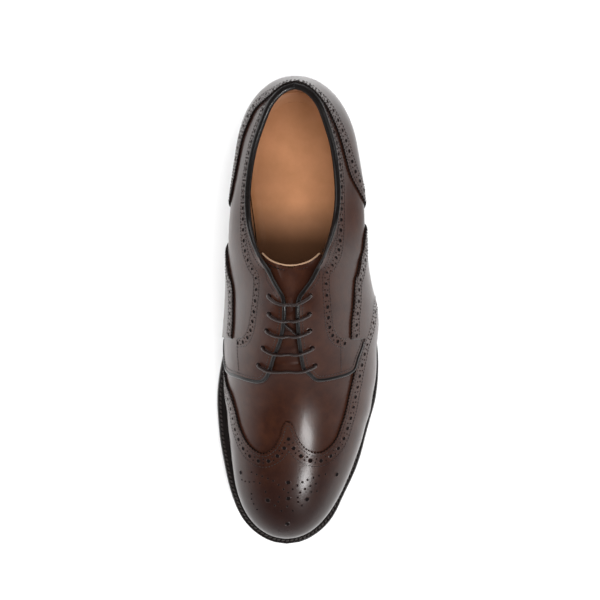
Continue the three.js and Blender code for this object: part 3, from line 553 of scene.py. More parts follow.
def add_leather(build, surface, low, high, face_slot=0, edge_slot=1, back_slot=None):
    """A skin between two levels over the last, with its cut edge."""
    top = surface.offset(high)
    bottom = surface.offset(low)
    build.add(top, surface.faces, face_slot)
    edges = surface.boundary()
    rounding = 0.22
    shoulder = surface.offset(np.broadcast_to(np.asarray(high, float), len(top)) - rounding)
    ring = []
    faces = []
    for a, b in edges:
        k = len(ring)
        ring.extend([top[b], top[a], shoulder[a], shoulder[b], bottom[a], bottom[b]])
        faces.extend([(k, k + 1, k + 2, k + 3), (k + 3, k + 2, k + 4, k + 5)])
    if faces:
        build.add(ring, faces, edge_slot, False)
    if back_slot is not None:
        build.add(bottom, [tuple(reversed(face)) for face in surface.faces], back_slot)


class LastSkin:
    """A skin over the last, to lay lines and holes on."""

    def __init__(self, skin, level=0):
        self.points = skin.offset(level)
        self.normals = skin.normal
        self.faces = skin.faces
        self.tree = BVHTree.FromPolygons(self.points.tolist(), skin.faces)

    def _smooth_normal(self, location, index):
        face = list(self.faces[index])
        distance = np.linalg.norm(self.points[face] - np.array(location), axis=1)
        weight = 1 / (distance + 0.05)
        normal = (self.normals[face] * weight[:, None]).sum(0)
        return normal / np.linalg.norm(normal)

    def nearest(self, points):
        places, normals = [], []
        for point in points:
            location, _, index, _ = self.tree.find_nearest(Vector(point))
            places.append(location)
            normals.append(self._smooth_normal(location, index))
        return np.array(places), np.array(normals)

    def from_above(self, x, place):
        origin = Vector((x, LENGTH / 2 - place, 400))
        location, _, index, _ = self.tree.ray_cast(origin, Vector((0, 0, -1)))
        return np.array(location), self._smooth_normal(location, index)


def resample(points, pitch):
    points = np.asarray(points, float)
    gaps = np.linalg.norm(np.diff(points, axis=0), axis=1)
    run = np.concatenate([[0], np.cumsum(gaps)])
    count = max(int(round(run[-1] / pitch)), 1)
    wanted = np.linspace(0, run[-1], count + 1)
    return np.stack([np.interp(wanted, run, points[:, k]) for k in range(3)], -1)


def smoothed(points, times):
    points = np.asarray(points, float).copy()
    for _ in range(times):
        points[1:-1] = 0.25 * points[:-2] + 0.5 * points[1:-1] + 0.25 * points[2:]
    return points


def tangents(points):
    run = np.gradient(points, axis=0)
    return run / np.maximum(np.linalg.norm(run, axis=1, keepdims=True), 1e-9)


def shifted(skin, points, distance, pitch=1.0):
    """A line on the last moved sideways over it, in small steps."""
    line = resample(points, pitch)
    steps = max(int(abs(distance) / 1.5), 1)
    for _ in range(steps):
        _, normals = skin.nearest(line)
        across = np.cross(normals, tangents(smoothed(line, 2)))
        line, _ = skin.nearest(line + across * (distance / steps))
        line = smoothed(resample(line, pitch), 1)
    return line


def edge_line(table, sides, low, high, count=160, across=False):
    """A panel's edge as a line on the last; across reads the place along from the height up."""
    lines = []
    for side in sides:
        run = np.linspace(low, high, count)
        value = table.side(side, run)
        at, up = (value, run) if across else (run, value)
        line = last_point(side, at, np.clip(up, 0.02, 1))
        lines.append(line if side == sides[0] else line[::-1])
    return np.concatenate(lines)


def add_stitches(build, skin, line, level, pitch=2.2, length=1.5, radius=0.3, slot=0):
    """Short raised threads laid end to end along a line."""
    line, normals = skin.nearest(resample(line, pitch))
    run = tangents(line)
    across = np.cross(normals, run)
    lift = level(line) if callable(level) else level
    centre = line + normals * (np.broadcast_to(lift, len(line)) + radius * 0.2)[:, None]
    ring = ((-0.5, 0, 0.1), (-0.32, 0.8, 0), (-0.32, 0, 1), (-0.32, -0.8, 0),
            (0.32, 0.8, 0), (0.32, 0, 1), (0.32, -0.8, 0), (0.5, 0, 0.1))
    faces = ((0, 2, 1), (0, 3, 2), (1, 2, 5, 4), (2, 3, 6, 5), (4, 5, 7), (5, 6, 7))
    for k in range(len(line)):
        points = [centre[k] + run[k] * a * length + across[k] * b * radius + normals[k] * c * radius
                  for a, b, c in ring]
        build.add(points, faces, slot)


def add_holes(build, centres, normals, radius, level, shade_slot, rim_slot, sides=10):
    """Punched holes: a soft rim round a dark floor disc of painted shade, which stands in for the
    hole's depth.
    """
    profile = ((1.32, -0.02), (1.16, 0.1), (1.0, 0.1), (0.92, 0.03))
    turns = np.linspace(0, 2 * math.pi, sides, endpoint=False)
    lifts = np.broadcast_to(level, len(centres))
    for centre, normal, lift in zip(centres, normals, lifts):
        side = np.cross(normal, (0.3, 0.9, 0.1))
        side /= np.linalg.norm(side)
        other = np.cross(normal, side)
        points = []
        for reach, height in profile:
            for turn in turns:
                points.append(centre + normal * (lift + height)
                              + (side * math.cos(turn) + other * math.sin(turn)) * radius * reach)
        points.append(centre + normal * (lift + 0.02))
        faces = []
        for ring in range(len(profile) - 1):
            for k in range(sides):
                after = (k + 1) % sides
                faces.append((ring * sides + k, ring * sides + after,
                              (ring + 1) * sides + after, (ring + 1) * sides + k))
        build.add(points, faces, rim_slot)
        # The floor disc lies on the surface; its dark material is painted shade of the hole's depth
        last_ring = (len(profile) - 1) * sides
        floor = [(last_ring + k, last_ring + (k + 1) % sides, len(points) - 1)
                 for k in range(sides)]
        build.add(points, floor, shade_slot)


def add_band(build, skin, line, level, shade_slot, rim_slot, sizes):
    """A row of large holes with pairs of small ones between them."""
    pitch = sizes.band_pitch
    large = resample(line, pitch)
    centres, normals = skin.nearest(large)
    lift = level(centres) if callable(level) else level
    add_holes(build, centres, normals, sizes.large_hole / 2, lift, shade_slot, rim_slot)
    run = tangents(large)
    middles = (large[1:] + large[:-1]) / 2
    spots = []
    for k, middle in enumerate(middles):
        _, normal = skin.nearest([middle])
        across = np.cross(normal[0], run[k])
        for along, aside in ((0, -1.25), (0, 1.25)):
            spots.append(middle + run[k] * along + across * aside)
    centres, normals = skin.nearest(spots)
    lift = level(centres) if callable(level) else level
    add_holes(build, centres, normals, sizes.small_hole / 2, lift, shade_slot, rim_slot, 7)


def add_gimping(build, skin, line, low, high, outward, sizes, slot=1, face_slot=0):
    """A row of small teeth along a cut edge."""
    line, normals = skin.nearest(resample(line, sizes.gimp_pitch))
    run = tangents(line)
    half = sizes.gimp_pitch * 0.5
    depth = sizes.gimp_depth
    for k in range(len(line)):
        out = np.cross(normals[k], run[k]) * outward
        low_lift = low(line[k:k + 1])[0] if callable(low) else low
        high_lift = high(line[k:k + 1])[0] if callable(high) else high
        shape = ((-half, -0.2), (-half, 0.0), (-half * 0.45, depth * 0.85), (0, depth),
                 (half * 0.45, depth * 0.85), (half, 0.0), (half, -0.2))
        top = [line[k] + run[k] * a + out * b + normals[k] * (high_lift - 0.02) for a, b in shape]
        bottom = [line[k] + run[k] * a + out * b + normals[k] * low_lift for a, b in shape]
        count = len(shape)
        order = tuple(range(count))
        turned = order if outward < 0 else tuple(reversed(order))
        build.add(top, [turned], face_slot, False)
        walls = []
        for i in range(count - 1):
            wall = (i, i + 1, i + 1 + count, i + count)
            walls.append(wall if outward > 0 else tuple(reversed(wall)))
        build.add(top + bottom, walls, slot, False)


def add_tube(build, line, normals, wide, high, slot=0, sides=10, closed_ends=True):
    """A round or oval cord along a line, its width over the surface and its height off it."""
    run = tangents(line)
    across = np.cross(normals, run)
    across /= np.maximum(np.linalg.norm(across, axis=1, keepdims=True), 1e-9)
    up = np.cross(run, across)
    wide = np.broadcast_to(wide, len(line))
    high = np.broadcast_to(high, len(line))
    points = []
    for k in range(len(line)):
        for turn in np.linspace(0, 2 * math.pi, sides, endpoint=False):
            points.append(line[k] + across[k] * math.cos(turn) * wide[k]
                          + up[k] * math.sin(turn) * high[k])
    faces = []
    for k in range(len(line) - 1):
        for i in range(sides):
            after = (i + 1) % sides
            faces.append((k * sides + after, k * sides + i,
                          (k + 1) * sides + i, (k + 1) * sides + after))
    if closed_ends:
        faces.append(tuple(range(sides)))
        faces.append(tuple(reversed(range((len(line) - 1) * sides, len(line) * sides))))
    build.add(points, faces, slot)


# Materials
def new_material(name):
    material = bpy.data.materials.new(name)
    material.use_nodes = True
    nodes = material.node_tree.nodes
    return material, nodes, material.node_tree.links, nodes["Principled BSDF"]


def noise(nodes, links, scale, detail, where, roughness=0.5):
    node = nodes.new("ShaderNodeTexNoise")
    node.inputs["Scale"].default_value = scale
    node.inputs["Detail"].default_value = detail
    node.inputs["Roughness"].default_value = roughness
    links.new(where, node.inputs["Vector"])
    return node.outputs["Fac"]


def ramp(nodes, links, source, low, high, out_low, out_high):
    node = nodes.new("ShaderNodeMapRange")
    node.inputs["From Min"].default_value = low
    node.inputs["From Max"].default_value = high
    node.inputs["To Min"].default_value = out_low
    node.inputs["To Max"].default_value = out_high
    links.new(source, node.inputs["Value"])
    return node.outputs["Result"]


def mix_colour(nodes, links, factor, first, second):
    node = nodes.new("ShaderNodeMix")
    node.data_type = "RGBA"
    links.new(factor, node.inputs["Factor"])
    for value, socket in ((first, node.inputs[6]), (second, node.inputs[7])):
        if isinstance(value, bpy.types.NodeSocket):
            links.new(value, socket)
        else:
            socket.default_value = (*value, 1)
    return node.outputs[2]


def combine(nodes, links, operation, first, second):
    node = nodes.new("ShaderNodeMath")
    node.operation = operation
    for value, socket in ((first, node.inputs[0]), (second, node.inputs[1])):
        if isinstance(value, bpy.types.NodeSocket):
            links.new(value, socket)
        else:
            socket.default_value = value
    return node.outputs[0]


def bump(nodes, links, height, strength, distance, after=None):
    node = nodes.new("ShaderNodeBump")
    node.inputs["Strength"].default_value = strength
    node.inputs["Distance"].default_value = distance
    links.new(height, node.inputs["Height"])
    if after is not None:
        links.new(after, node.inputs["Normal"])
    return node.outputs["Normal"]


def object_coordinates(nodes):
    return nodes.new("ShaderNodeTexCoord").outputs["Object"]


def calf_material(colours):
    """Polished calf: fine pores, cloudy hand colour, a burnished toe and a wax coat."""
    material, nodes, links, shader = new_material("polished_calf")
    where = object_coordinates(nodes)
    parts = nodes.new("ShaderNodeSeparateXYZ")
    links.new(where, parts.inputs[0])
    cloud = noise(nodes, links, 38, 5, where, 0.62)
    streak = noise(nodes, links, 160, 4, where, 0.6)
    tone = mix_colour(nodes, links, ramp(nodes, links, cloud, 0.35, 0.68, 0, 1),
                      colours.calf_dark, colours.calf)
    tone = mix_colour(nodes, links, ramp(nodes, links, streak, 0.4, 0.72, 0, 0.35),
                      tone, colours.calf_warm)
    toe = ramp(nodes, links, parts.outputs[1], -0.075, -0.125, 0, 0.75)
    heel = ramp(nodes, links, parts.outputs[1], 0.06, 0.14, 0, 0.35)
    burnish = combine(nodes, links, "MAXIMUM", toe, heel)
    tone = mix_colour(nodes, links, burnish, tone, colours.calf_burnt)
    links.new(tone, shader.inputs["Base Color"])
    links.new(ramp(nodes, links, cloud, 0.3, 0.7, 0.27, 0.36), shader.inputs["Roughness"])
    pores = nodes.new("ShaderNodeTexVoronoi")
    pores.inputs["Scale"].default_value = 1500
    links.new(where, pores.inputs["Vector"])
    fine = noise(nodes, links, 900, 3, where)
    normal = bump(nodes, links, pores.outputs["Distance"], 0.08, 0.0002)
    normal = bump(nodes, links, fine, 0.06, 0.0003, normal)
    normal = bump(nodes, links, noise(nodes, links, 90, 3, where), 0.1, 0.0009, normal)
    links.new(normal, shader.inputs["Normal"])
    shader.inputs["Specular IOR Level"].default_value = 0.2
    shader.inputs["Coat Weight"].default_value = 0.22
    shader.inputs["Coat Roughness"].default_value = 0.16
    return material


def plain_leather(name, colour, dark, roughness, coat, scale, strength, specular=0.3):
    """Leather with a cloudy tone and a fine grain."""
    material, nodes, links, shader = new_material(name)
    where = object_coordinates(nodes)
    cloud = noise(nodes, links, scale, 5, where, 0.6)
    tone = mix_colour(nodes, links, ramp(nodes, links, cloud, 0.35, 0.7, 0, 1), dark, colour)
    links.new(tone, shader.inputs["Base Color"])
    fine = noise(nodes, links, 1300, 4, where, 0.65)
    pores = nodes.new("ShaderNodeTexVoronoi")
    pores.inputs["Scale"].default_value = 1100
    links.new(where, pores.inputs["Vector"])
    normal = bump(nodes, links, fine, strength, 0.0003)
    normal = bump(nodes, links, pores.outputs["Distance"], strength * 0.6, 0.0002, normal)
    links.new(normal, shader.inputs["Normal"])
    links.new(ramp(nodes, links, fine, 0.3, 0.7, roughness - 0.05, roughness + 0.06),
              shader.inputs["Roughness"])
    shader.inputs["Specular IOR Level"].default_value = specular
    shader.inputs["Coat Weight"].default_value = coat
    shader.inputs["Coat Roughness"].default_value = 0.25
    return material


def lining_material(colours):
    """Tan lining: warm in the heel, with painted shade darkening it toward the toe, and a soft sheen.
    """
    material, nodes, links, shader = new_material("tan_lining")
    where = object_coordinates(nodes)
    parts = nodes.new("ShaderNodeSeparateXYZ")
    links.new(where, parts.inputs[0])
    cloud = noise(nodes, links, 45, 4, where, 0.6)
    tone = mix_colour(nodes, links, ramp(nodes, links, cloud, 0.35, 0.7, 0, 1),
                      colours.lining_dark, colours.lining)
    # Painted shade: darkens the lining and sock toward the toe, where shade falls inside the shoe
    painted_shade = ramp(nodes, links, parts.outputs[1], 0.072, 0.045, 0, 0.88)
    tone = mix_colour(nodes, links, painted_shade, tone, colours.lining_painted_shade)
    links.new(tone, shader.inputs["Base Color"])
    fine = noise(nodes, links, 1100, 4, where, 0.65)
    links.new(bump(nodes, links, fine, 0.18, 0.0003), shader.inputs["Normal"])
    shader.inputs["Roughness"].default_value = 0.55
    shader.inputs["Sheen Weight"].default_value = 0.15
    return material


def thread_material(name, colour, roughness, coat):
    """Twisted waxed thread."""
    material, nodes, links, shader = new_material(name)
    where = object_coordinates(nodes)
    twist = nodes.new("ShaderNodeTexWave")
    twist.inputs["Scale"].default_value = 900
    twist.inputs["Distortion"].default_value = 1.5
    links.new(where, twist.inputs["Vector"])
    tone = mix_colour(nodes, links, twist.outputs["Fac"], tuple(c * 0.6 for c in colour), colour)
    links.new(tone, shader.inputs["Base Color"])
    links.new(bump(nodes, links, twist.outputs["Fac"], 0.35, 0.0002), shader.inputs["Normal"])
    shader.inputs["Roughness"].default_value = roughness
    shader.inputs["Coat Weight"].default_value = coat
    shader.inputs["Coat Roughness"].default_value = 0.3
    return material


def rubber_material(name, colour, dark, roughness):
    """Moulded rubber with a dusty, faintly mottled face."""
    material, nodes, links, shader = new_material(name)
    where = object_coordinates(nodes)
    cloud = noise(nodes, links, 70, 6, where, 0.65)
    tone = mix_colour(nodes, links, ramp(nodes, links, cloud, 0.35, 0.7, 0, 1), dark, colour)
    links.new(tone, shader.inputs["Base Color"])
    fine = noise(nodes, links, 1500, 3, where)
    links.new(bump(nodes, links, fine, 0.2, 0.0002), shader.inputs["Normal"])
    links.new(ramp(nodes, links, cloud, 0.3, 0.7, roughness - 0.06, roughness + 0.06),
              shader.inputs["Roughness"])
    return material


def lift_material(name, colour, dark):
    """Stacked lifts, stained and waxed, with faint layer lines."""
    material, nodes, links, shader = new_material(name)
    where = object_coordinates(nodes)
    parts = nodes.new("ShaderNodeSeparateXYZ")
    links.new(where, parts.inputs[0])
    layers = nodes.new("ShaderNodeTexWave")
    layers.bands_direction = "Z"
    layers.inputs["Scale"].default_value = 60
    layers.inputs["Distortion"].default_value = 0.4
    links.new(where, layers.inputs["Vector"])
    cloud = noise(nodes, links, 120, 5, where, 0.6)
    both = combine(nodes, links, "MULTIPLY", layers.outputs["Fac"], cloud)
    tone = mix_colour(nodes, links, ramp(nodes, links, both, 0.1, 0.6, 0, 1), dark, colour)
    links.new(tone, shader.inputs["Base Color"])
    links.new(bump(nodes, links, layers.outputs["Fac"], 0.25, 0.0002), shader.inputs["Normal"])
    shader.inputs["Roughness"].default_value = 0.42
    shader.inputs["Coat Weight"].default_value = 0.3
    shader.inputs["Coat Roughness"].default_value = 0.3
    return material


# What a user would change
class ShoeSizes(PropertyGroup):
    """Small sizes of the finish, in millimetres."""

    piping: FloatProperty(name="Piping width", description="Width of the rolled edge binding",
                          default=3, min=1, max=5)
    stitch_pitch: FloatProperty(name="Stitch pitch", description="Distance between stitches",
                                default=2.0, min=1, max=5)
    welt_pitch: FloatProperty(name="Welt stitch pitch", description="Pitch of the welt's stitches",
                              default=2.9, min=1.5, max=8)
    large_hole: FloatProperty(name="Large hole", description="Diameter of the large holes",
                              default=2.7, min=0.5, max=4)
    small_hole: FloatProperty(name="Small hole", description="Diameter of the small holes",
                              default=1.15, min=0.3, max=2)
    band_pitch: FloatProperty(name="Band pitch", description="Distance between large holes",
                              default=6.9, min=3, max=15)
    gimp_pitch: FloatProperty(name="Gimp pitch", description="Width of one tooth of a gimped edge",
                              default=2.2, min=1, max=5)
    gimp_depth: FloatProperty(name="Gimp depth", description="Height of one tooth",
                              default=0.75, min=0.2, max=2)
    lace: FloatProperty(name="Lace", description="Diameter of the lace", default=1.9, min=1, max=4)
    cell: FloatProperty(name="Mesh cell", description="Length of a face of the leather",
                        default=1.5, min=0.8, max=4)


def colour_property(name, description, value):
    return FloatVectorProperty(name=name, description=description, default=value,
                               subtype="COLOR", size=3, min=0, max=1)


class ShoeColours(PropertyGroup):
    """Colours of the leathers, threads and rubber."""

    calf: colour_property("Calf", "Main brown of the calf", (0.03, 0.0105, 0.0064))
    calf_dark: colour_property("Calf clouds", "Darker clouds in the calf", (0.02, 0.007, 0.0044))
    calf_warm: colour_property("Calf streaks", "Warm brown that shows through", (0.052, 0.018, 0.008))
    calf_burnt: colour_property("Burnish", "Burnished toe and heel", (0.0095, 0.0045, 0.0042))
    edge: colour_property("Cut edge", "Stained cut edges", (0.006, 0.004, 0.0035))
    piping: colour_property("Piping", "Rolled binding", (0.006, 0.0048, 0.0045))
    lining: colour_property("Lining", "Tan lining", (0.4, 0.18, 0.082))
    lining_dark: colour_property("Lining clouds", "Darker lining", (0.32, 0.142, 0.06))
    # Painted shade: the dark colour the lining and sock take toward the toe
    lining_painted_shade: colour_property("Lining painted shade", "Lining toward the toe", (0.05, 0.02, 0.009))
    raw_edge: colour_property("Raw edge", "Light cut edge of the tongue", (0.3, 0.19, 0.12))
    thread: colour_property("Thread", "Closing thread", (0.007, 0.004, 0.0035))
    welt: colour_property("Welt", "Dressed welt", (0.0075, 0.0055, 0.005))
    welt_thread: colour_property("Welt thread", "Thread of the welt", (0.03, 0.024, 0.022))
    lace: colour_property("Lace", "Waxed lace", (0.013, 0.0055, 0.004))
    rubber: colour_property("Rubber", "Outsole", (0.062, 0.052, 0.046))
    top_piece: colour_property("Top piece", "Heel's top piece", (0.07, 0.06, 0.054))
    lifts: colour_property("Lifts", "Heel lifts", (0.011, 0.008, 0.007))


def kit():
    """The skin of the last and the materials, made once."""
    if not kit.made:
        colours = bpy.context.scene.shoe_colours
        kit.made["skin"] = LastSkin(Surface(None, (-1, 1), (0, 1), (0, 1), 1.7))
        kit.made["calf"] = calf_material(colours)
        kit.made["edge"] = plain_leather("stained_edge", colours.edge, colours.edge, 0.6, 0, 200, 0.1)
        kit.made["piping"] = plain_leather("rolled_piping", colours.piping,
                                           tuple(c * 0.7 for c in colours.piping),
                                           0.3, 0.2, 220, 0.1, 0.25)
        kit.made["lining"] = lining_material(colours)
        kit.made["raw_edge"] = plain_leather("raw_edge", colours.raw_edge, colours.raw_edge,
                                             0.8, 0, 300, 0.3)
        kit.made["thread"] = thread_material("closing_thread", tuple(colours.thread), 0.5, 0.2)
        # Painted shade: a near-black floor with little polish, for the shade down inside the punched
        # holes
        kit.made["hole"] = plain_leather("punched_hole_shade", (0.006, 0.004, 0.004),
                                         (0.004, 0.003, 0.003), 0.8, 0, 200, 0.1, 0.05)
        kit.made["welt"] = plain_leather("dressed_welt", colours.welt,
                                         tuple(c * 0.6 for c in colours.welt), 0.42, 0.3, 140, 0.2)
        kit.made["welt_thread"] = thread_material("welt_thread", tuple(colours.welt_thread), 0.5, 0.3)
        kit.made["lace"] = thread_material("waxed_lace", tuple(colours.lace), 0.45, 0.35)
        kit.made["rubber"] = rubber_material("moulded_rubber", colours.rubber,
                                             tuple(c * 0.75 for c in colours.rubber), 0.6)
        kit.made["top_piece"] = rubber_material("top_piece_rubber", colours.top_piece,
                                                tuple(c * 0.75 for c in colours.top_piece), 0.6)
        kit.made["lifts"] = lift_material("heel_lifts", colours.lifts,
                                          tuple(c * 0.55 for c in colours.lifts))
        # Partly the dark nail head, partly painted shade of the sunk nail's recess
        kit.made["nail"] = plain_leather("nail_hole_shade", (0.008, 0.007, 0.006), (0.005, 0.005, 0.005),
                                         0.7, 0, 200, 0.1)
    return kit.made


kit.made = {}


def leather_set():
    made = kit()
    return [made["calf"], made["edge"], made["lining"], made["hole"], made["thread"]]


# The hole slot holds the painted shade of the punched holes' floors
CALF, EDGE, LINING, SHADED_HOLE, THREAD = range(5)


def level_of(value):
    """The same level all over, or one that follows the wing's climb."""
    return value if callable(value) else (lambda points: np.full(len(points), float(value)))


class SHOE_OT_upper(Operator):
    """Vamp and lined quarters: one wall over the last, open at collar and throat"""

    bl_idname = "shoe.upper"
    bl_label = "Upper"

    def execute(self, context):
        made = kit()
        build = Build()
        cell = context.scene.shoe_sizes.cell
        surface = Surface(upper_field, (-1, 1), (0, 1), (0, 1), cell * 1.15)
        add_leather(build, surface, -WALL, 0, CALF, EDGE, LINING)
        build.piece("upper_wall", leather_set(), "calf", "upper")
        return {"FINISHED"}


def tongue_normal(points):
    """A calm direction to sink the tongue along."""
    x = (points[:, 0] - AXIS_SHIFT + 5) / 45
    y = -0.1 - 0.5 * ease(130, 160, place_of(points))
    normal = np.stack([x, y, np.ones(len(x))], -1)
    return normal / np.linalg.norm(normal, axis=1, keepdims=True)


class SHOE_OT_tongue(Operator):
    """Tongue running out of the vamp, with its raw top edge and stitch row"""

    bl_idname = "shoe.tongue"
    bl_label = "Tongue"

    def execute(self, context):
        made = kit()
        build = Build()
        surface = Surface(tongue_field, (-1, 1), (TONGUE_BACK - 0.01, 0.66), (0.6, 1), 0.9)
        surface.soften(40, True)
        surface.normal = tongue_normal(surface.base)
        depth = tongue_depth(surface.base) + 0.12
        add_leather(build, surface, -depth - TONGUE_THICKNESS, -depth, CALF, EDGE, LINING)
        ats = np.linspace(TONGUE_BACK, 0.446, 60)
        edge = np.concatenate([last_point(-1, ats, 1), last_point(1, ats[::-1], 1)[1:]])
        edge = smoothed(resample(edge, 0.8), 60)
        normals = tongue_normal(edge)
        sunk = edge - normals * (TONGUE_SINK + 0.12 + TONGUE_THICKNESS / 2)
        add_tube(build, sunk, normals, 0.55, TONGUE_THICKNESS / 2 + 0.1, 5, 8)
        row = sunk[4:-4] + normals[4:-4] * TONGUE_THICKNESS / 2
        row[:, 1] -= 3
        for k in range(0, len(row) - 2, 3):
            add_tube(build, row[k:k + 3], normals[k + 4:k + 7], 0.3, 0.22, THREAD, 6)
        build.piece("tongue_leather", leather_set() + [made["raw_edge"]], "calf", "tongue")
        return {"FINISHED"}


def clear_of(line, edge, distance):
    """The part of a line that keeps its distance from an edge."""
    gaps = np.array([np.linalg.norm(edge - point, axis=1).min() for point in line])
    return line[gaps > distance]


class SHOE_OT_wing_cap(Operator):
    """Wing cap with its gimped edge, band of holes and toe medallion"""

    bl_idname = "shoe.wing_cap"
    bl_label = "Wing cap"

    def execute(self, context):
        made = kit()
        skin = made["skin"]
        sizes = context.scene.shoe_sizes
        build = Build()
        surface = Surface(wing_field, (-1, 1), (0.44, 1), (0, 1), sizes.cell)
        add_leather(build, surface, wing_base(surface.base), wing_level(surface.base))
        top = LastSkin(surface, wing_level(surface.base))
        halves = [edge_line(WING_EDGE, (-1,), 0.03, 1, 200, True),
                  edge_line(WING_EDGE, (1,), 0.03, 1, 200, True)[::-1]]
        line = resample(np.concatenate([halves[0], halves[1][1:]]), 0.9)
        add_gimping(build, skin, line, wing_base, wing_level, 1, sizes)
        add_stitches(build, top, shifted(skin, line, -1.3), 0, sizes.stitch_pitch,
                     slot=THREAD)
        for half in halves:
            row = clear_of(shifted(skin, half, -8.4), line, 8)
            add_stitches(build, top, row, 0, sizes.stitch_pitch, slot=THREAD)
            add_band(build, top, clear_of(shifted(skin, half, -4.9), line, 4.6), 0,
                     SHADED_HOLE, CALF, sizes)
        for group, radius in ((MEDALLION_LARGE, sizes.large_hole / 2 * 1.1),
                              (MEDALLION_SMALL, sizes.small_hole / 2 * 1.15)):
            spots = [top.from_above(x + AXIS_SHIFT, place) for x, place in group]
            add_holes(build, [s[0] for s in spots], [s[1] for s in spots], radius,
                      0, SHADED_HOLE, CALF)
        build.piece("wing_cap_leather", leather_set(), "calf", "wing_cap")
        return {"FINISHED"}


def quarter_edge(side):
    """The bound edge of a quarter: top line, facing, tab front, as a line on the last."""
    collar = np.linspace(0.0, 0.35, 130)
    facing = np.linspace(0.355, 0.56, 90)
    low = 0.3 if side < 0 else 0.545
    front = np.linspace(0.944, low, 110)
    at = np.concatenate([collar, facing, TAB_FRONT.side(side, front)])
    up = np.concatenate([np.ones(130), np.minimum(FACING_EDGE.side(side, facing), 1), front])
    return last_point(side, at, up), at


def quarter_band(side):
    """Where the band of holes runs on a quarter: below the top line, then beside the facing."""
    collar_at = np.linspace(0.004, 0.385, 90)
    drop = 0.07 + 0.11 * ease(0.25, 0.385, collar_at)
    run = np.linspace(0, 7, 70)
    at = np.concatenate([collar_at, QUARTER_BAND.columns["at"][0:0], quarter_band_at(run)])
    up = np.concatenate([1 - drop, quarter_band_up(side, run)])
    return smoothed(resample(last_point(side, at, up), 1.2), 12)


def quarter_band_at(run):
    rows = QUARTER_BAND.columns
    return np.interp(run, rows["run"], rows["at"])


def quarter_band_up(side, run):
    rows = QUARTER_BAND.columns
    return np.interp(run, rows["run"], rows["medial" if side < 0 else "lateral"])


class SHOE_OT_quarters(Operator):
    """Both quarters with facings, tabs, eyelet holes, stitch rows and bands"""

    bl_idname = "shoe.quarters"
    bl_label = "Quarters"

    def execute(self, context):
        made = kit()
        skin = made["skin"]
        sizes = context.scene.shoe_sizes
        for side, name in ((-1, "medial"), (1, "lateral")):
            build = Build()
            surface = Surface(quarter_field, (side,), (0, 0.655), (0, 1), sizes.cell)
            add_leather(build, surface, CLEARANCE, QUARTER_LEVEL)
            top = LastSkin(surface, QUARTER_LEVEL)
            edge, _ = quarter_edge(side)
            row = shifted(skin, smoothed(resample(edge, 1), 3), side * 2.9)
            add_stitches(build, top, row, 0, sizes.stitch_pitch, slot=THREAD)
            band = quarter_band(side)
            add_band(build, top, band, 0, SHADED_HOLE, CALF, sizes)
            for distance in (-2.7, 2.7):
                add_stitches(build, top, shifted(skin, band, distance), 0,
                             sizes.stitch_pitch, slot=THREAD)
            at = EYELETS.columns["at"]
            up = EYELETS.columns[name]
            centres = last_point(side, at, up)
            centres, normals = top.nearest(centres)
            add_holes(build, centres, normals, 1.75, 0, SHADED_HOLE, CALF, 18)
            tab = TAB_ROWS[side]
            spots = np.array([top.from_above(x + AXIS_SHIFT, place)[0] for x, place in tab])
            add_stitches(build, top, resample(spots, 1), 0, sizes.stitch_pitch,
                         slot=THREAD)
            build.piece(f"quarter_{name}_leather", leather_set(), "calf", f"quarter_{name}")
        return {"FINISHED"}


class SHOE_OT_side_panels(Operator):
    """Gimped side panels behind the tabs, with their bands"""

    bl_idname = "shoe.side_panels"
    bl_label = "Side panels"

    def execute(self, context):
        made = kit()
        skin = made["skin"]
        sizes = context.scene.shoe_sizes
        low = QUARTER_LEVEL + CLEARANCE
        for side, name in ((-1, "medial"), (1, "lateral")):
            build = Build()
            surface = Surface(side_panel_field, (side,), (PANEL_START - 0.005, 0.56), (0, 0.7),
                              sizes.cell)
            add_leather(build, surface, low, TRIM_LEVEL)
            top = LastSkin(surface, TRIM_LEVEL)
            at = np.linspace(0.302, 0.555, 120)
            up = np.maximum(SIDE_PANEL_EDGE.side(side, at), 0.03)
            line = resample(last_point(side, at, up), 0.9)
            add_gimping(build, skin, line, level_of(low), level_of(TRIM_LEVEL), -side, sizes)
            for distance in (1.2, 7):
                row = shifted(skin, line, side * distance)
                add_stitches(build, top, row, 0, sizes.stitch_pitch, slot=THREAD)
            add_band(build, top, shifted(skin, line, side * 4.1), 0, SHADED_HOLE, CALF, sizes)
            build.piece(f"side_panel_{name}_leather", leather_set(), "calf",
                        f"side_panel_{name}")
        return {"FINISHED"}


class SHOE_OT_counter(Operator):
    """Gimped heel counter with its band"""

    bl_idname = "shoe.counter"
    bl_label = "Counter"

    def execute(self, context):
        made = kit()
        skin = made["skin"]
        sizes = context.scene.shoe_sizes
        low = QUARTER_LEVEL + CLEARANCE
        build = Build()
        surface = Surface(counter_field, (-1, 1), (0, COUNTER_END + 0.004), (0, 1), sizes.cell)
        add_leather(build, surface, low, TRIM_LEVEL)
        top = LastSkin(surface, TRIM_LEVEL)
        halves = []
        for side in (-1, 1):
            at = np.linspace(0.28, 0.0, 140)
            half = last_point(side, at, np.maximum(COUNTER_EDGE.side(side, at), 0.03))
            halves.append(half if side < 0 else half[::-1][1:])
        line = resample(smoothed(np.concatenate(halves), 4), 0.9)
        add_gimping(build, skin, line, level_of(low), level_of(TRIM_LEVEL), -1, sizes)
        for distance in (1.2, 7):
            add_stitches(build, top, shifted(skin, line, distance), 0,
                         sizes.stitch_pitch, slot=THREAD)
        add_band(build, top, shifted(skin, line, 4.1), 0, SHADED_HOLE, CALF, sizes)
        build.piece("counter_leather", leather_set(), "calf", "counter")
        return {"FINISHED"}


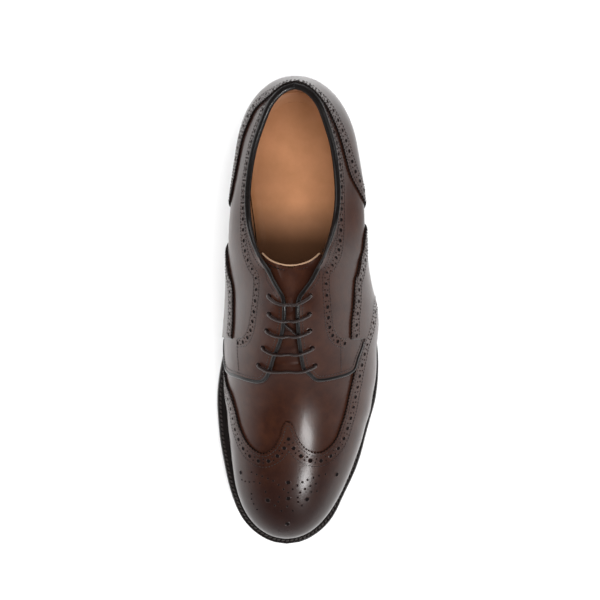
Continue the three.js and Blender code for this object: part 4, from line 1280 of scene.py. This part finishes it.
class SHOE_OT_piping(Operator):
    """Rolled binding along top line, facings and tabs"""

    bl_idname = "shoe.piping"
    bl_label = "Piping"

    def execute(self, context):
        made = kit()
        skin = made["skin"]
        sizes = context.scene.shoe_sizes
        build = Build()
        for side in (-1, 1):
            edge, at = quarter_edge(side)
            edge = np.vstack([edge[:1] - tangents(edge[:2])[:1] * 0.9, edge[1:]])
            line = smoothed(resample(edge, 1), 4)
            bend = np.abs(place_of(line) - COLLAR_FRONT) < 22
            bend &= line[:, 2] > 80
            line[bend] = smoothed(line[bend], 60)
            shares = np.linspace(0, 1, len(edge))
            gaps = np.concatenate([[0], np.cumsum(np.linalg.norm(np.diff(edge, axis=0), axis=1))])
            run = np.linspace(0, gaps[-1], len(line))
            along = np.interp(np.interp(run, gaps, shares), shares, np.arange(len(at)))
            on_facing = ease(118, 150, along)
            _, normals = skin.nearest(line)
            across = np.cross(normals, tangents(line)) * side
            lift = -0.2 + 1.15 * on_facing
            centre = line + normals * lift[:, None] + across * (0.35 - 0.2 * on_facing)[:, None]
            wide = sizes.piping / 2 * (0.95 - 0.05 * on_facing)
            high = (WALL + OVERLAY) / 2 + 0.45 - 0.85 * on_facing
            add_tube(build, centre, normals, wide, high, 0, 12)
            ups = np.linspace(*((0.29, 0.551) if side < 0 else (0.533, 0.649)), 20)
            seam, normals = skin.nearest(last_point(side, TAB_BACK, ups))
            add_tube(build, seam + normals * QUARTER_LEVEL, normals, 0.7, 0.45, 0, 8)
        build.piece("piping", [made["piping"]], "calf")
        return {"FINISHED"}


LACE_TOP = OVERLAY + CLEARANCE + CLEARANCE + 1.35
LACE_MIDDLE = 1
LACE_UNDER = CLEARANCE - CLEARANCE - 0.8 - 1
BAR_BOW = 0.013
EYELET_INSET = 0.03


def lace_spot(side, at, up, lift):
    return (last_point(side, at, up) + last_normal(side, at, up) * lift).reshape(3)


def lace_bar(index, first):
    at = EYELETS.columns["at"][index]
    points = []
    for side in (first, -first):
        up = EYELETS.columns["medial" if side < 0 else "lateral"][index]
        inside = up + EYELET_INSET
        middle = (LACE_TOP + LACE_MIDDLE) / 2
        spots = [
            lace_spot(side, at, up, LACE_UNDER - 0.15),
            lace_spot(side, at, up, CLEARANCE + OVERLAY / 2),
            lace_spot(side, at, up + 0.006, LACE_TOP - 0.1),
            lace_spot(side, at + BAR_BOW * 0.35, inside, LACE_TOP),
            lace_spot(side, at + BAR_BOW * 0.7, inside + 0.035, LACE_TOP),
            lace_spot(side, at + BAR_BOW * 0.95, (inside + 0.035 + 1) / 2, middle),
        ]
        points.extend(spots if side == first else spots[::-1])
    points.insert(6, lace_spot(first, at + BAR_BOW, 1, LACE_MIDDLE))
    return points


def lace_run(side, first, last):
    name = "medial" if side < 0 else "lateral"
    ats = EYELETS.columns["at"]
    ups = EYELETS.columns[name]
    points = []
    for t in (0.2, 0.5, 0.8):
        up = ups[first] + (ups[last] - ups[first]) * t - 0.045 * math.sin(math.pi * t)
        points.append(lace_spot(side, ats[first] + (ats[last] - ats[first]) * t, up, LACE_UNDER))
    return points


def lace_crossing(side, first, last):
    ats = EYELETS.columns["at"]
    up = EYELETS.columns["medial" if side < 0 else "lateral"][first]
    other = EYELETS.columns["lateral" if side < 0 else "medial"][last]
    at = [ats[first] + (ats[last] - ats[first]) * t for t in (0.12, 0.32, 0.5, 0.68, 0.88)]
    return [
        lace_spot(side, at[0], up + 0.04, LACE_UNDER), lace_spot(side, at[1], 0.955, LACE_UNDER),
        lace_spot(side, at[2], 0.999, LACE_UNDER), lace_spot(-side, at[3], 0.955, LACE_UNDER),
        lace_spot(-side, at[4], other + 0.04, LACE_UNDER),
    ]


def smooth_path(points, pitch):
    """A centripetal curve through the points."""
    points = np.asarray(points, float)
    ends = np.vstack([2 * points[0] - points[1], points, 2 * points[-1] - points[-2]])
    out = []
    for k in range(1, len(ends) - 2):
        p = ends[k - 1:k + 3]
        gaps = np.sqrt(np.maximum(np.linalg.norm(np.diff(p, axis=0), axis=1), 1e-6))
        t = np.concatenate([[0], np.cumsum(gaps)])
        for x in np.linspace(t[1], t[2], 8, endpoint=False):
            a = [p[i] + (p[i + 1] - p[i]) * (x - t[i]) / (t[i + 1] - t[i]) for i in range(3)]
            b = [a[i] + (a[i + 1] - a[i]) * (x - t[i]) / (t[i + 2] - t[i]) for i in range(2)]
            out.append(b[0] + (b[1] - b[0]) * (x - t[1]) / (t[2] - t[1]))
    out.append(points[-1])
    return resample(out, pitch)


def carried_frames(line):
    """Normals that turn as little as they can along a line."""
    run = tangents(line)
    normal = np.cross(run[0], (0.2, 0.1, 1))
    normal /= np.linalg.norm(normal)
    normals = [normal]
    for k in range(1, len(line)):
        normal = normals[-1] - run[k] * np.dot(normals[-1], run[k])
        normals.append(normal / np.linalg.norm(normal))
    return np.array(normals)


class SHOE_OT_lace(Operator):
    """One waxed lace through the eyelets, in straight bars"""

    bl_idname = "shoe.lace"
    bl_label = "Lace"

    def execute(self, context):
        made = kit()
        build = Build()
        points = (lace_bar(1, 1) + lace_crossing(-1, 1, 3) + lace_bar(3, 1) + lace_run(-1, 3, 4)
                  + lace_bar(4, -1) + lace_run(1, 4, 2) + lace_bar(2, 1) + lace_run(-1, 2, 0)
                  + lace_bar(0, -1))
        line = smooth_path(points, 0.55)
        radius = context.scene.shoe_sizes.lace / 2
        twist = 1 + 0.05 * np.sin(np.arange(len(line)) * 2.2)
        add_tube(build, line, carried_frames(line), radius * twist, radius * twist, 0, 12)
        build.piece("lace_cord", [made["lace"]], "lace", "lace")
        return {"FINISHED"}


def sole_ring(inset, height, count=220):
    """A closed level ring of the bottom, medial side first, from heel to toe and back."""
    turn = np.linspace(0, 1, count // 2 + 1)
    at = 0.5 * turn + 0.25 * (1 - np.cos(math.pi * turn))
    rings = []
    for side in (-1, 1):
        amount = inset(at) if callable(inset) else inset
        plan = outline_point(side, at, amount)
        rings.append(locate(plan[:, 0], plan[:, 1], height(plan[:, 1])))
    return np.concatenate([rings[0], rings[1][::-1][1:-1]])


def add_rings(build, rings, slot=0, smooth=True):
    """Skins between closed rings of equal length, given from below upward on the outside."""
    count = len(rings[0])
    faces = []
    for k in range(len(rings) - 1):
        for i in range(count):
            after = (i + 1) % count
            faces.append((k * count + i, (k + 1) * count + i,
                          (k + 1) * count + after, k * count + after))
    build.add(np.concatenate(rings), faces, slot, smooth)


def add_cap(build, inset, height, up, slot=0, count=110, across=14):
    """A face across the bottom at one inset, facing up or down."""
    turn = np.linspace(0, 1, count + 1)
    at = 0.5 * turn + 0.25 * (1 - np.cos(math.pi * turn))
    amount = inset(at) if callable(inset) else inset
    left = outline_point(-1, at, amount)
    right = outline_point(1, at, amount)
    rows = []
    for t in np.linspace(0, 1, across + 1):
        plan = left + (right - left) * t
        rows.append(locate(plan[:, 0], plan[:, 1], height(plan[:, 1])))
    points = np.stack(rows, 1).reshape(-1, 3)
    faces = []
    for i in range(count):
        for j in range(across):
            a = i * (across + 1) + j
            face = (a, a + across + 1, a + across + 2, a + 1)
            faces.append(face if up else tuple(reversed(face)))
    build.add(points, faces, slot)


def add_stud(build, x, place, base, slope, slot):
    """A ring stud with a round recess, its rim softly rounded."""
    profile = ((0, -0.9), (4.1, -0.9), (4.5, -0.75), (4.9, -0.12), (5.1, 0), (9.3, 0), (9.7, -0.15),
               (10, -0.5), (10.1, -STUD_HEIGHT - 0.4))
    sides = 40
    points = []
    for radius, drop in profile:
        for turn in np.linspace(0, 2 * math.pi, sides, endpoint=False):
            along = radius * math.sin(turn)
            points.append((x + radius * math.cos(turn), LENGTH / 2 - place - along,
                           base - STUD_HEIGHT - drop + slope * along))
    faces = []
    for k in range(len(profile) - 1):
        for i in range(sides):
            after = (i + 1) % sides
            faces.append((k * sides + i, k * sides + after,
                          (k + 1) * sides + after, (k + 1) * sides + i))
    build.add(points, faces, slot)


class SHOE_OT_outsole(Operator):
    """Rubber outsole with rounded edge, stitch groove and ring studs"""

    bl_idname = "shoe.outsole"
    bl_label = "Outsole"

    def execute(self, context):
        made = kit()
        build = Build()
        rings = []
        for inset, lift in ((9.2, 0), (8.2, 0), (7.7, 0.55), (7.1, 0.55), (6.6, 0), (1.5, 0),
                            (0.75, 0.2), (0.2, 0.75), (0, 1.5), (0, SOLE_THICKNESS - 1.2),
                            (0.15, SOLE_THICKNESS - 0.4), (0.6, SOLE_THICKNESS)):
            rings.append(sole_ring(inset, lambda place, lift=lift: sole_bottom(place) + lift, 300))
        add_rings(build, rings)
        add_cap(build, 9.2, sole_bottom, False)
        add_cap(build, 0.6, lambda place: sole_bottom(place) + SOLE_THICKNESS, True)
        for across, place in FOREFOOT_STUDS:
            spot = place * LENGTH
            slope = float(sole_bottom(spot + 1) - sole_bottom(spot - 1)) / 2
            base = float(sole_bottom(spot))
            lowest = base - STUD_HEIGHT - 10 * abs(slope)
            add_stud(build, across * BALL_WIDTH + AXIS_SHIFT, spot, base - min(lowest, 0), slope, 0)
        groove = []
        for side in (-1, 1):
            at = np.linspace(BREAST_END / LENGTH + 0.02, 1, 200)
            plan = outline_point(side, at, 7.4)
            half = locate(plan[:, 0], plan[:, 1], sole_bottom(plan[:, 1]) + 0.35)
            groove.append(half if side < 0 else half[::-1][1:])
        line = resample(np.concatenate(groove), 3.1)
        run = tangents(line)
        for k in range(len(line)):
            across = np.cross((0, 0, -1), run[k])
            points = [line[k] + run[k] * a * 1.15 + across * b * 0.4 + np.array((0, 0, -c * 0.3))
                      for a, b, c in ((-1, 0, 0), (-0.6, 1, 0), (-0.6, 0, 1), (-0.6, -1, 0),
                                      (0.6, 1, 0), (0.6, 0, 1), (0.6, -1, 0), (1, 0, 0))]
            build.add(points, ((0, 1, 2), (0, 2, 3), (1, 4, 5, 2), (2, 5, 6, 3),
                               (4, 7, 5), (5, 7, 6)), 1)
        build.piece("outsole_rubber", [made["rubber"], made["welt_thread"]], "rubber", "outsole")
        return {"FINISHED"}


class SHOE_OT_welt(Operator):
    """Dressed welt with its row of coarse stitches"""

    bl_idname = "shoe.welt"
    bl_label = "Welt"

    def execute(self, context):
        made = kit()
        sizes = context.scene.shoe_sizes
        build = Build()
        rings = []
        for inset, lift in ((1.4, 0), (0.7, 0.15), (0.4, 0.6), (0.35, 1.6), (0.55, 2.4), (1.0, 2.85),
                            (1.6, 3.0), (2.1, 2.85), (2.5, 2.7), (3.0, 2.85), (3.5, 3.0), (12, 3.0)):
            rings.append(sole_ring(inset, lambda place, lift=lift: welt_height(place) + lift, 300))
        add_rings(build, rings)
        halves = []
        for side in (-1, 1):
            at = np.linspace(0.0, 1, 260)
            plan = outline_point(side, at, 2.5)
            half = locate(plan[:, 0], plan[:, 1], welt_height(plan[:, 1]) + 2.9)
            halves.append(half if side < 0 else half[::-1][1:])
        line = resample(np.concatenate(halves), sizes.welt_pitch)
        run = tangents(line)
        ring = ((-1, 0, 0), (-0.6, 1, 0.2), (-0.6, 0, 1), (-0.6, -1, 0.2),
                (0.6, 1, 0.2), (0.6, 0, 1), (0.6, -1, 0.2), (1, 0, 0))
        for k in range(len(line)):
            across = np.cross((0, 0, 1), run[k])
            slant = run[k] + across * 0.28
            points = [line[k] + slant * a * sizes.welt_pitch * 0.42 + across * b * 0.62
                      + np.array((0, 0, c * 0.5)) for a, b, c in ring]
            build.add(points, ((0, 2, 1), (0, 3, 2), (1, 2, 5, 4), (2, 3, 6, 5),
                               (4, 5, 7), (5, 6, 7)), 1)
        build.piece("welt_strip", [made["welt"], made["welt_thread"]], "welt", "welt")
        return {"FINISHED"}


class SHOE_OT_insole(Operator):
    """Insole with its tan sock, dished a little and turned up at the sides"""

    bl_idname = "shoe.insole"
    bl_label = "Insole"

    def execute(self, context):
        made = kit()
        build = Build()

        def inset(extra):
            return lambda at: feather_inset(at) + extra

        def top(lift):
            return lambda place: welt_height(place) + INSOLE_THICKNESS + lift

        rings = [sole_ring(inset(2.3), lambda place: welt_height(place) + 0.1, 300)]
        for extra, lift in ((0.6, 2.2), (1.6, 1.5), (2.6, 0.8), (4.2, 0.3), (7, 0)):
            rings.append(sole_ring(inset(extra), top(lift), 300))
        add_rings(build, rings)
        add_cap(build, inset(7), top(0), True)
        build.piece("insole_sock", [made["lining"]], "insole", "insole")
        return {"FINISHED"}


def heel_ring(inset, height, breast=0.0):
    end = BREAST_END / LENGTH
    turn = np.linspace(0, 1, 60)
    at = end * (1 - np.cos(turn * math.pi / 2)) ** 0.9
    halves = []
    for side in (-1, 1):
        plan = outline_point(side, at, inset)
        halves.append(plan)
    first = halves[0][::-1]
    second = halves[1][1:]
    start = second[-1]
    finish = first[0]
    t = np.linspace(0, 1, 26)[1:-1, None]
    front = start + (finish - start) * t
    front[:, 1] -= (7 * 4 * t * (1 - t))[:, 0] + breast
    plan = np.concatenate([first, second, front])
    return locate(plan[:, 0], plan[:, 1], np.full(len(plan), float(height)))


def add_flat_face(build, ring, up, slot=0):
    centre = ring.mean(0)
    count = len(ring)
    points = np.vstack([ring, centre])
    faces = []
    for k in range(count):
        face = (k, (k + 1) % count, count)
        faces.append(tuple(reversed(face)) if up else face)
    build.add(points, faces, slot, False)


class SHOE_OT_heel(Operator):
    """Heel lifts and the studded top piece with its nail holes and crescent"""

    bl_idname = "shoe.heel"
    bl_label = "Heel"

    def execute(self, context):
        made = kit()
        build = Build()
        low = STUD_HEIGHT + TOP_PIECE + CLEARANCE
        high = HEEL_HEIGHT - 0.05
        lifts = 3
        rings = []
        for k in range(lifts):
            bottom = low + (high - low) * k / lifts
            top = low + (high - low) * (k + 1) / lifts
            share = (k + 0.5) / lifts
            inset = 1.2 - 0.8 * share
            rings.extend([heel_ring(inset + 0.3, bottom), heel_ring(inset, bottom + 0.3),
                          heel_ring(inset, top - 0.3), heel_ring(inset + 0.3, top)])
        add_rings(build, rings, 0, True)
        add_flat_face(build, rings[0], False)
        add_flat_face(build, rings[-1], True)
        build.piece("heel_lifts", [made["lifts"]], "heel_block", "heel_block")
        build = Build()
        top = STUD_HEIGHT + TOP_PIECE + 0.2
        rings = [heel_ring(i, z) for i, z in (
            (2.2, STUD_HEIGHT), (1.5, STUD_HEIGHT + 0.25), (1.2, STUD_HEIGHT + 0.8),
            (1.2, top - 0.4), (1.5, top))]
        add_rings(build, rings, 0, True)
        add_flat_face(build, rings[0], False)
        add_flat_face(build, rings[-1], True)
        for across, place in HEEL_STUDS:
            add_stud(build, across * BALL_WIDTH + AXIS_SHIFT, place * LENGTH, STUD_HEIGHT, 0, 0)
        for across, place in HEEL_NAILS:
            add_nail(build, across * BALL_WIDTH + AXIS_SHIFT, place * LENGTH)
        add_crescent(build)
        build.piece("heel_top_rubber", [made["top_piece"], made["nail"]], "rubber",
                    "heel_top_piece")
        return {"FINISHED"}


def add_nail(build, x, place):
    """A sunk nail: a soft rim and a dark floor, partly the nail's own dark head and partly painted
    shade of its recess.
    """
    sides = 18
    profile = ((1.9, 0), (1.55, 0.12), (1.35, 0.08), (1.15, 0.03))
    points = []
    for radius, drop in profile:
        for turn in np.linspace(0, 2 * math.pi, sides, endpoint=False):
            points.append((x + radius * math.cos(turn), LENGTH / 2 - place - radius * math.sin(turn),
                           STUD_HEIGHT - drop))
    points.append((x, LENGTH / 2 - place, STUD_HEIGHT - 0.03))
    faces = []
    for k in range(len(profile) - 1):
        for i in range(sides):
            after = (i + 1) % sides
            faces.append((k * sides + i, (k + 1) * sides + i,
                          (k + 1) * sides + after, k * sides + after))
    build.add(points, faces, 0)
    start = (len(profile) - 1) * sides
    build.add(points, [(start + i, len(points) - 1, start + (i + 1) % sides)
                       for i in range(sides)], 1)


def add_crescent(build):
    """The raised crescent at the back of the top piece, with a wavy front edge."""
    inner = resample([(x * BALL_WIDTH + AXIS_SHIFT, LENGTH / 2 - place * LENGTH, 0)
                      for x, place in CRESCENT_FRONT], 1)
    inner = smoothed(inner, 3)
    count = len(inner)
    outer = resample([(x * BALL_WIDTH + AXIS_SHIFT, LENGTH / 2 - place * LENGTH, 0)
                      for x, place in CRESCENT_BACK], 1)
    share = np.linspace(0, len(outer) - 1, count)
    outer = np.stack([np.interp(share, np.arange(len(outer)), outer[:, k]) for k in range(3)], -1)
    rows = []
    for t, drop in ((0, -0.1), (0.06, 0.4), (0.12, 0.5), (0.88, 0.5), (0.94, 0.4), (1, -0.1)):
        row = inner + (outer - inner) * t
        row[:, 2] = STUD_HEIGHT - drop
        rows.append(row)
    points = np.concatenate(rows)
    faces = []
    for k in range(len(rows) - 1):
        for i in range(count - 1):
            faces.append((k * count + i, k * count + i + 1,
                          (k + 1) * count + i + 1, (k + 1) * count + i))
    build.add(points, faces, 0)


# Spots of the underside, across as a share of the ball's width and along as a share of the length
FOREFOOT_STUDS = (
    (-0.101, 0.916), (0.051, 0.855), (-0.228, 0.845), (0.18, 0.764), (-0.051, 0.781),
    (-0.276, 0.765), (0.229, 0.671), (-0.013, 0.682), (-0.262, 0.682), (0.242, 0.581),
    (0.006, 0.569), (-0.225, 0.601),
)
HEEL_STUDS = ((0.151, 0.187), (-0.168, 0.192), (-0.024, 0.113))
HEEL_NAILS = (
    (0.285, 0.221), (-0.002, 0.22), (-0.285, 0.232), (0.236, 0.138), (-0.268, 0.147),
    (0.146, 0.058), (-0.209, 0.065), (-0.037, 0.025),
)
CRESCENT_FRONT = (
    (0.205, 0.062), (0.145, 0.082), (0.075, 0.062), (-0.03, 0.047), (-0.143, 0.066),
    (-0.213, 0.089), (-0.27, 0.07),
)
CRESCENT_BACK = (
    (0.205, 0.062), (0.16, 0.045), (0.09, 0.031), (-0.035, 0.022), (-0.15, 0.034),
    (-0.225, 0.052), (-0.27, 0.07),
)

# Plan spots of the medallion on the toe, from the shoe's middle line and the back of the heel
MEDALLION_LARGE = (
    (-7.5, 258.2), (-7.5, 268.7), (4.5, 269.5), (-20.5, 270.1), (-38, 253.3), (23.6, 254.2),
    (-8.1, 285.9),
)
MEDALLION_SMALL = (
    (-1.7, 260.2), (1.5, 258.1), (4.8, 256.6), (8.5, 255.4), (12.1, 254.2), (16.2, 253.4),
    (-4.7, 262.6), (0.1, 264.8), (3.1, 262.5), (6.5, 260.8), (10.2, 259.4), (-7.5, 264.8),
    (-1.6, 268.1), (-1.2, 271.1), (1.3, 273.6), (7.1, 264.7), (10.9, 264.4), (-10.4, 262.6),
    (-13.5, 259.8), (-24, 254.5), (-27.5, 253.5), (-30.9, 252.2), (-25.6, 259), (-29.3, 258.4),
    (-32.4, 258.8), (-35.1, 258.7), (-37.3, 257.9), (-31.1, 266.5), (-31.1, 270), (-29.7, 273.2),
    (-27.5, 276.7), (-17, 257.2), (-20.4, 255.8), (-13.2, 267.8), (-13.8, 271), (-16.1, 273.4),
    (-21.9, 264.6), (-4.6, 277), (-11.8, 277), (-8.1, 274),
)

# Plan rows of stitches down each tab, from the hook of the band to the front
TAB_ROWS = {
    -1: ((-39.5, 168), (-39.3, 176), (-38.8, 184), (-38.2, 190.5)),
    1: ((25.2, 166.5), (25.3, 174), (25.6, 182), (25.8, 189.5)),
}


class SHOE_OT_stage(Operator):
    """Pale floor, soft studio light and the photo's camera"""

    bl_idname = "shoe.stage"
    bl_label = "Stage"

    def execute(self, context):
        mesh = bpy.data.meshes.new("floor")
        half = 3.0
        mesh.from_pydata([(-half, -half, 0), (half, -half, 0), (half, half, 0), (-half, half, 0)],
                         [], [(0, 1, 2, 3)])
        floor = bpy.data.objects.new("floor", mesh)
        material, nodes, links, shader = new_material("pale_floor")
        shader.inputs["Base Color"].default_value = (0.9, 0.9, 0.9, 1)
        shader.inputs["Roughness"].default_value = 0.9
        shader.inputs["Specular IOR Level"].default_value = 0.0
        mesh.materials.append(material)
        context.scene.collection.objects.link(floor)

        world = bpy.data.worlds.new("studio")
        context.scene.world = world
        world.use_nodes = True
        nodes = world.node_tree.nodes
        links = world.node_tree.links
        back = nodes["Background"]
        where = nodes.new("ShaderNodeTexCoord").outputs["Generated"]
        parts = nodes.new("ShaderNodeSeparateXYZ")
        links.new(where, parts.inputs[0])
        fade = ramp(nodes, links, parts.outputs[2], 0.0, 0.48, 1, 0)
        tone = mix_colour(nodes, links, fade, (0.01, 0.01, 0.01), (1.1, 1.1, 1.14))
        links.new(tone, back.inputs["Color"])
        back.inputs["Strength"].default_value = 1

        for name, place, target, size, power, seen in STUDIO_LIGHTS:
            data = bpy.data.lights.new(name, "AREA")
            data.shape = "RECTANGLE"
            data.size, data.size_y = size
            data.energy = power
            lamp = bpy.data.objects.new(name, data)
            lamp.location = place
            lamp.visible_glossy = seen
            lamp.rotation_euler = (Vector(target) - Vector(place)).to_track_quat("-Z", "Y").to_euler()
            context.scene.collection.objects.link(lamp)

        data = bpy.data.cameras.new("photo_camera")
        data.sensor_width = 36
        data.lens = 103.5
        data.clip_end = 20
        camera = bpy.data.objects.new("photo_camera", data)
        camera.location = (AXIS_SHIFT * MM, (LENGTH / 2 - 142.5) * MM, 1.15)
        camera.rotation_euler = (0, 0, 0)
        context.scene.collection.objects.link(camera)
        context.scene.camera = camera
        context.scene.view_settings.view_transform = "Standard"
        return {"FINISHED"}


# Name, place, target, size in metres, power, and whether it shows in the polish
STUDIO_LIGHTS = (
    ("front_softbox", (0.68, -1.15, 1.3), (0, -0.08, 0.04), (0.42, 0.3), 15, True),
    ("side_softbox", (-1.4, 0.1, 0.75), (0, 0, 0.04), (1.2, 0.5), 5, True),
    ("rear_softbox", (0.5, 1.5, 0.9), (0, 0, 0.04), (1.0, 0.5), 5, True),
    ("top_softbox", (0, 0, 2.2), (0, 0, 0), (2.4, 2.4), 88, False),
)


class SHOE_PT_panel(Panel):
    """Lists the pieces in the sidebar"""

    bl_label = "Brogue derby"
    bl_idname = "SHOE_PT_panel"
    bl_space_type = "VIEW_3D"
    bl_region_type = "UI"
    bl_category = "Shoe"

    def draw(self, context):
        layout = self.layout
        for name in ShoeSizes.__annotations__:
            layout.prop(context.scene.shoe_sizes, name)
        for name in ShoeColours.__annotations__:
            layout.prop(context.scene.shoe_colours, name)
        for operator in OPERATORS:
            layout.operator(operator.bl_idname)


OPERATORS = (SHOE_OT_stage, SHOE_OT_upper, SHOE_OT_tongue, SHOE_OT_wing_cap, SHOE_OT_quarters,
             SHOE_OT_side_panels, SHOE_OT_counter, SHOE_OT_piping, SHOE_OT_lace,
             SHOE_OT_outsole, SHOE_OT_welt, SHOE_OT_insole, SHOE_OT_heel)
CLASSES = (ShoeSizes, ShoeColours) + OPERATORS + (SHOE_PT_panel,)


def register():
    for cls in CLASSES:
        bpy.utils.register_class(cls)
    bpy.types.Scene.shoe_sizes = PointerProperty(type=ShoeSizes)
    bpy.types.Scene.shoe_colours = PointerProperty(type=ShoeColours)


def unregister():
    del bpy.types.Scene.shoe_colours
    del bpy.types.Scene.shoe_sizes
    for cls in reversed(CLASSES):
        bpy.utils.unregister_class(cls)


def main():
    register()
    for operator in OPERATORS:
        _, name = operator.bl_idname.split(".")
        getattr(bpy.ops.shoe, name)()


if __name__ == "__main__":
    main()
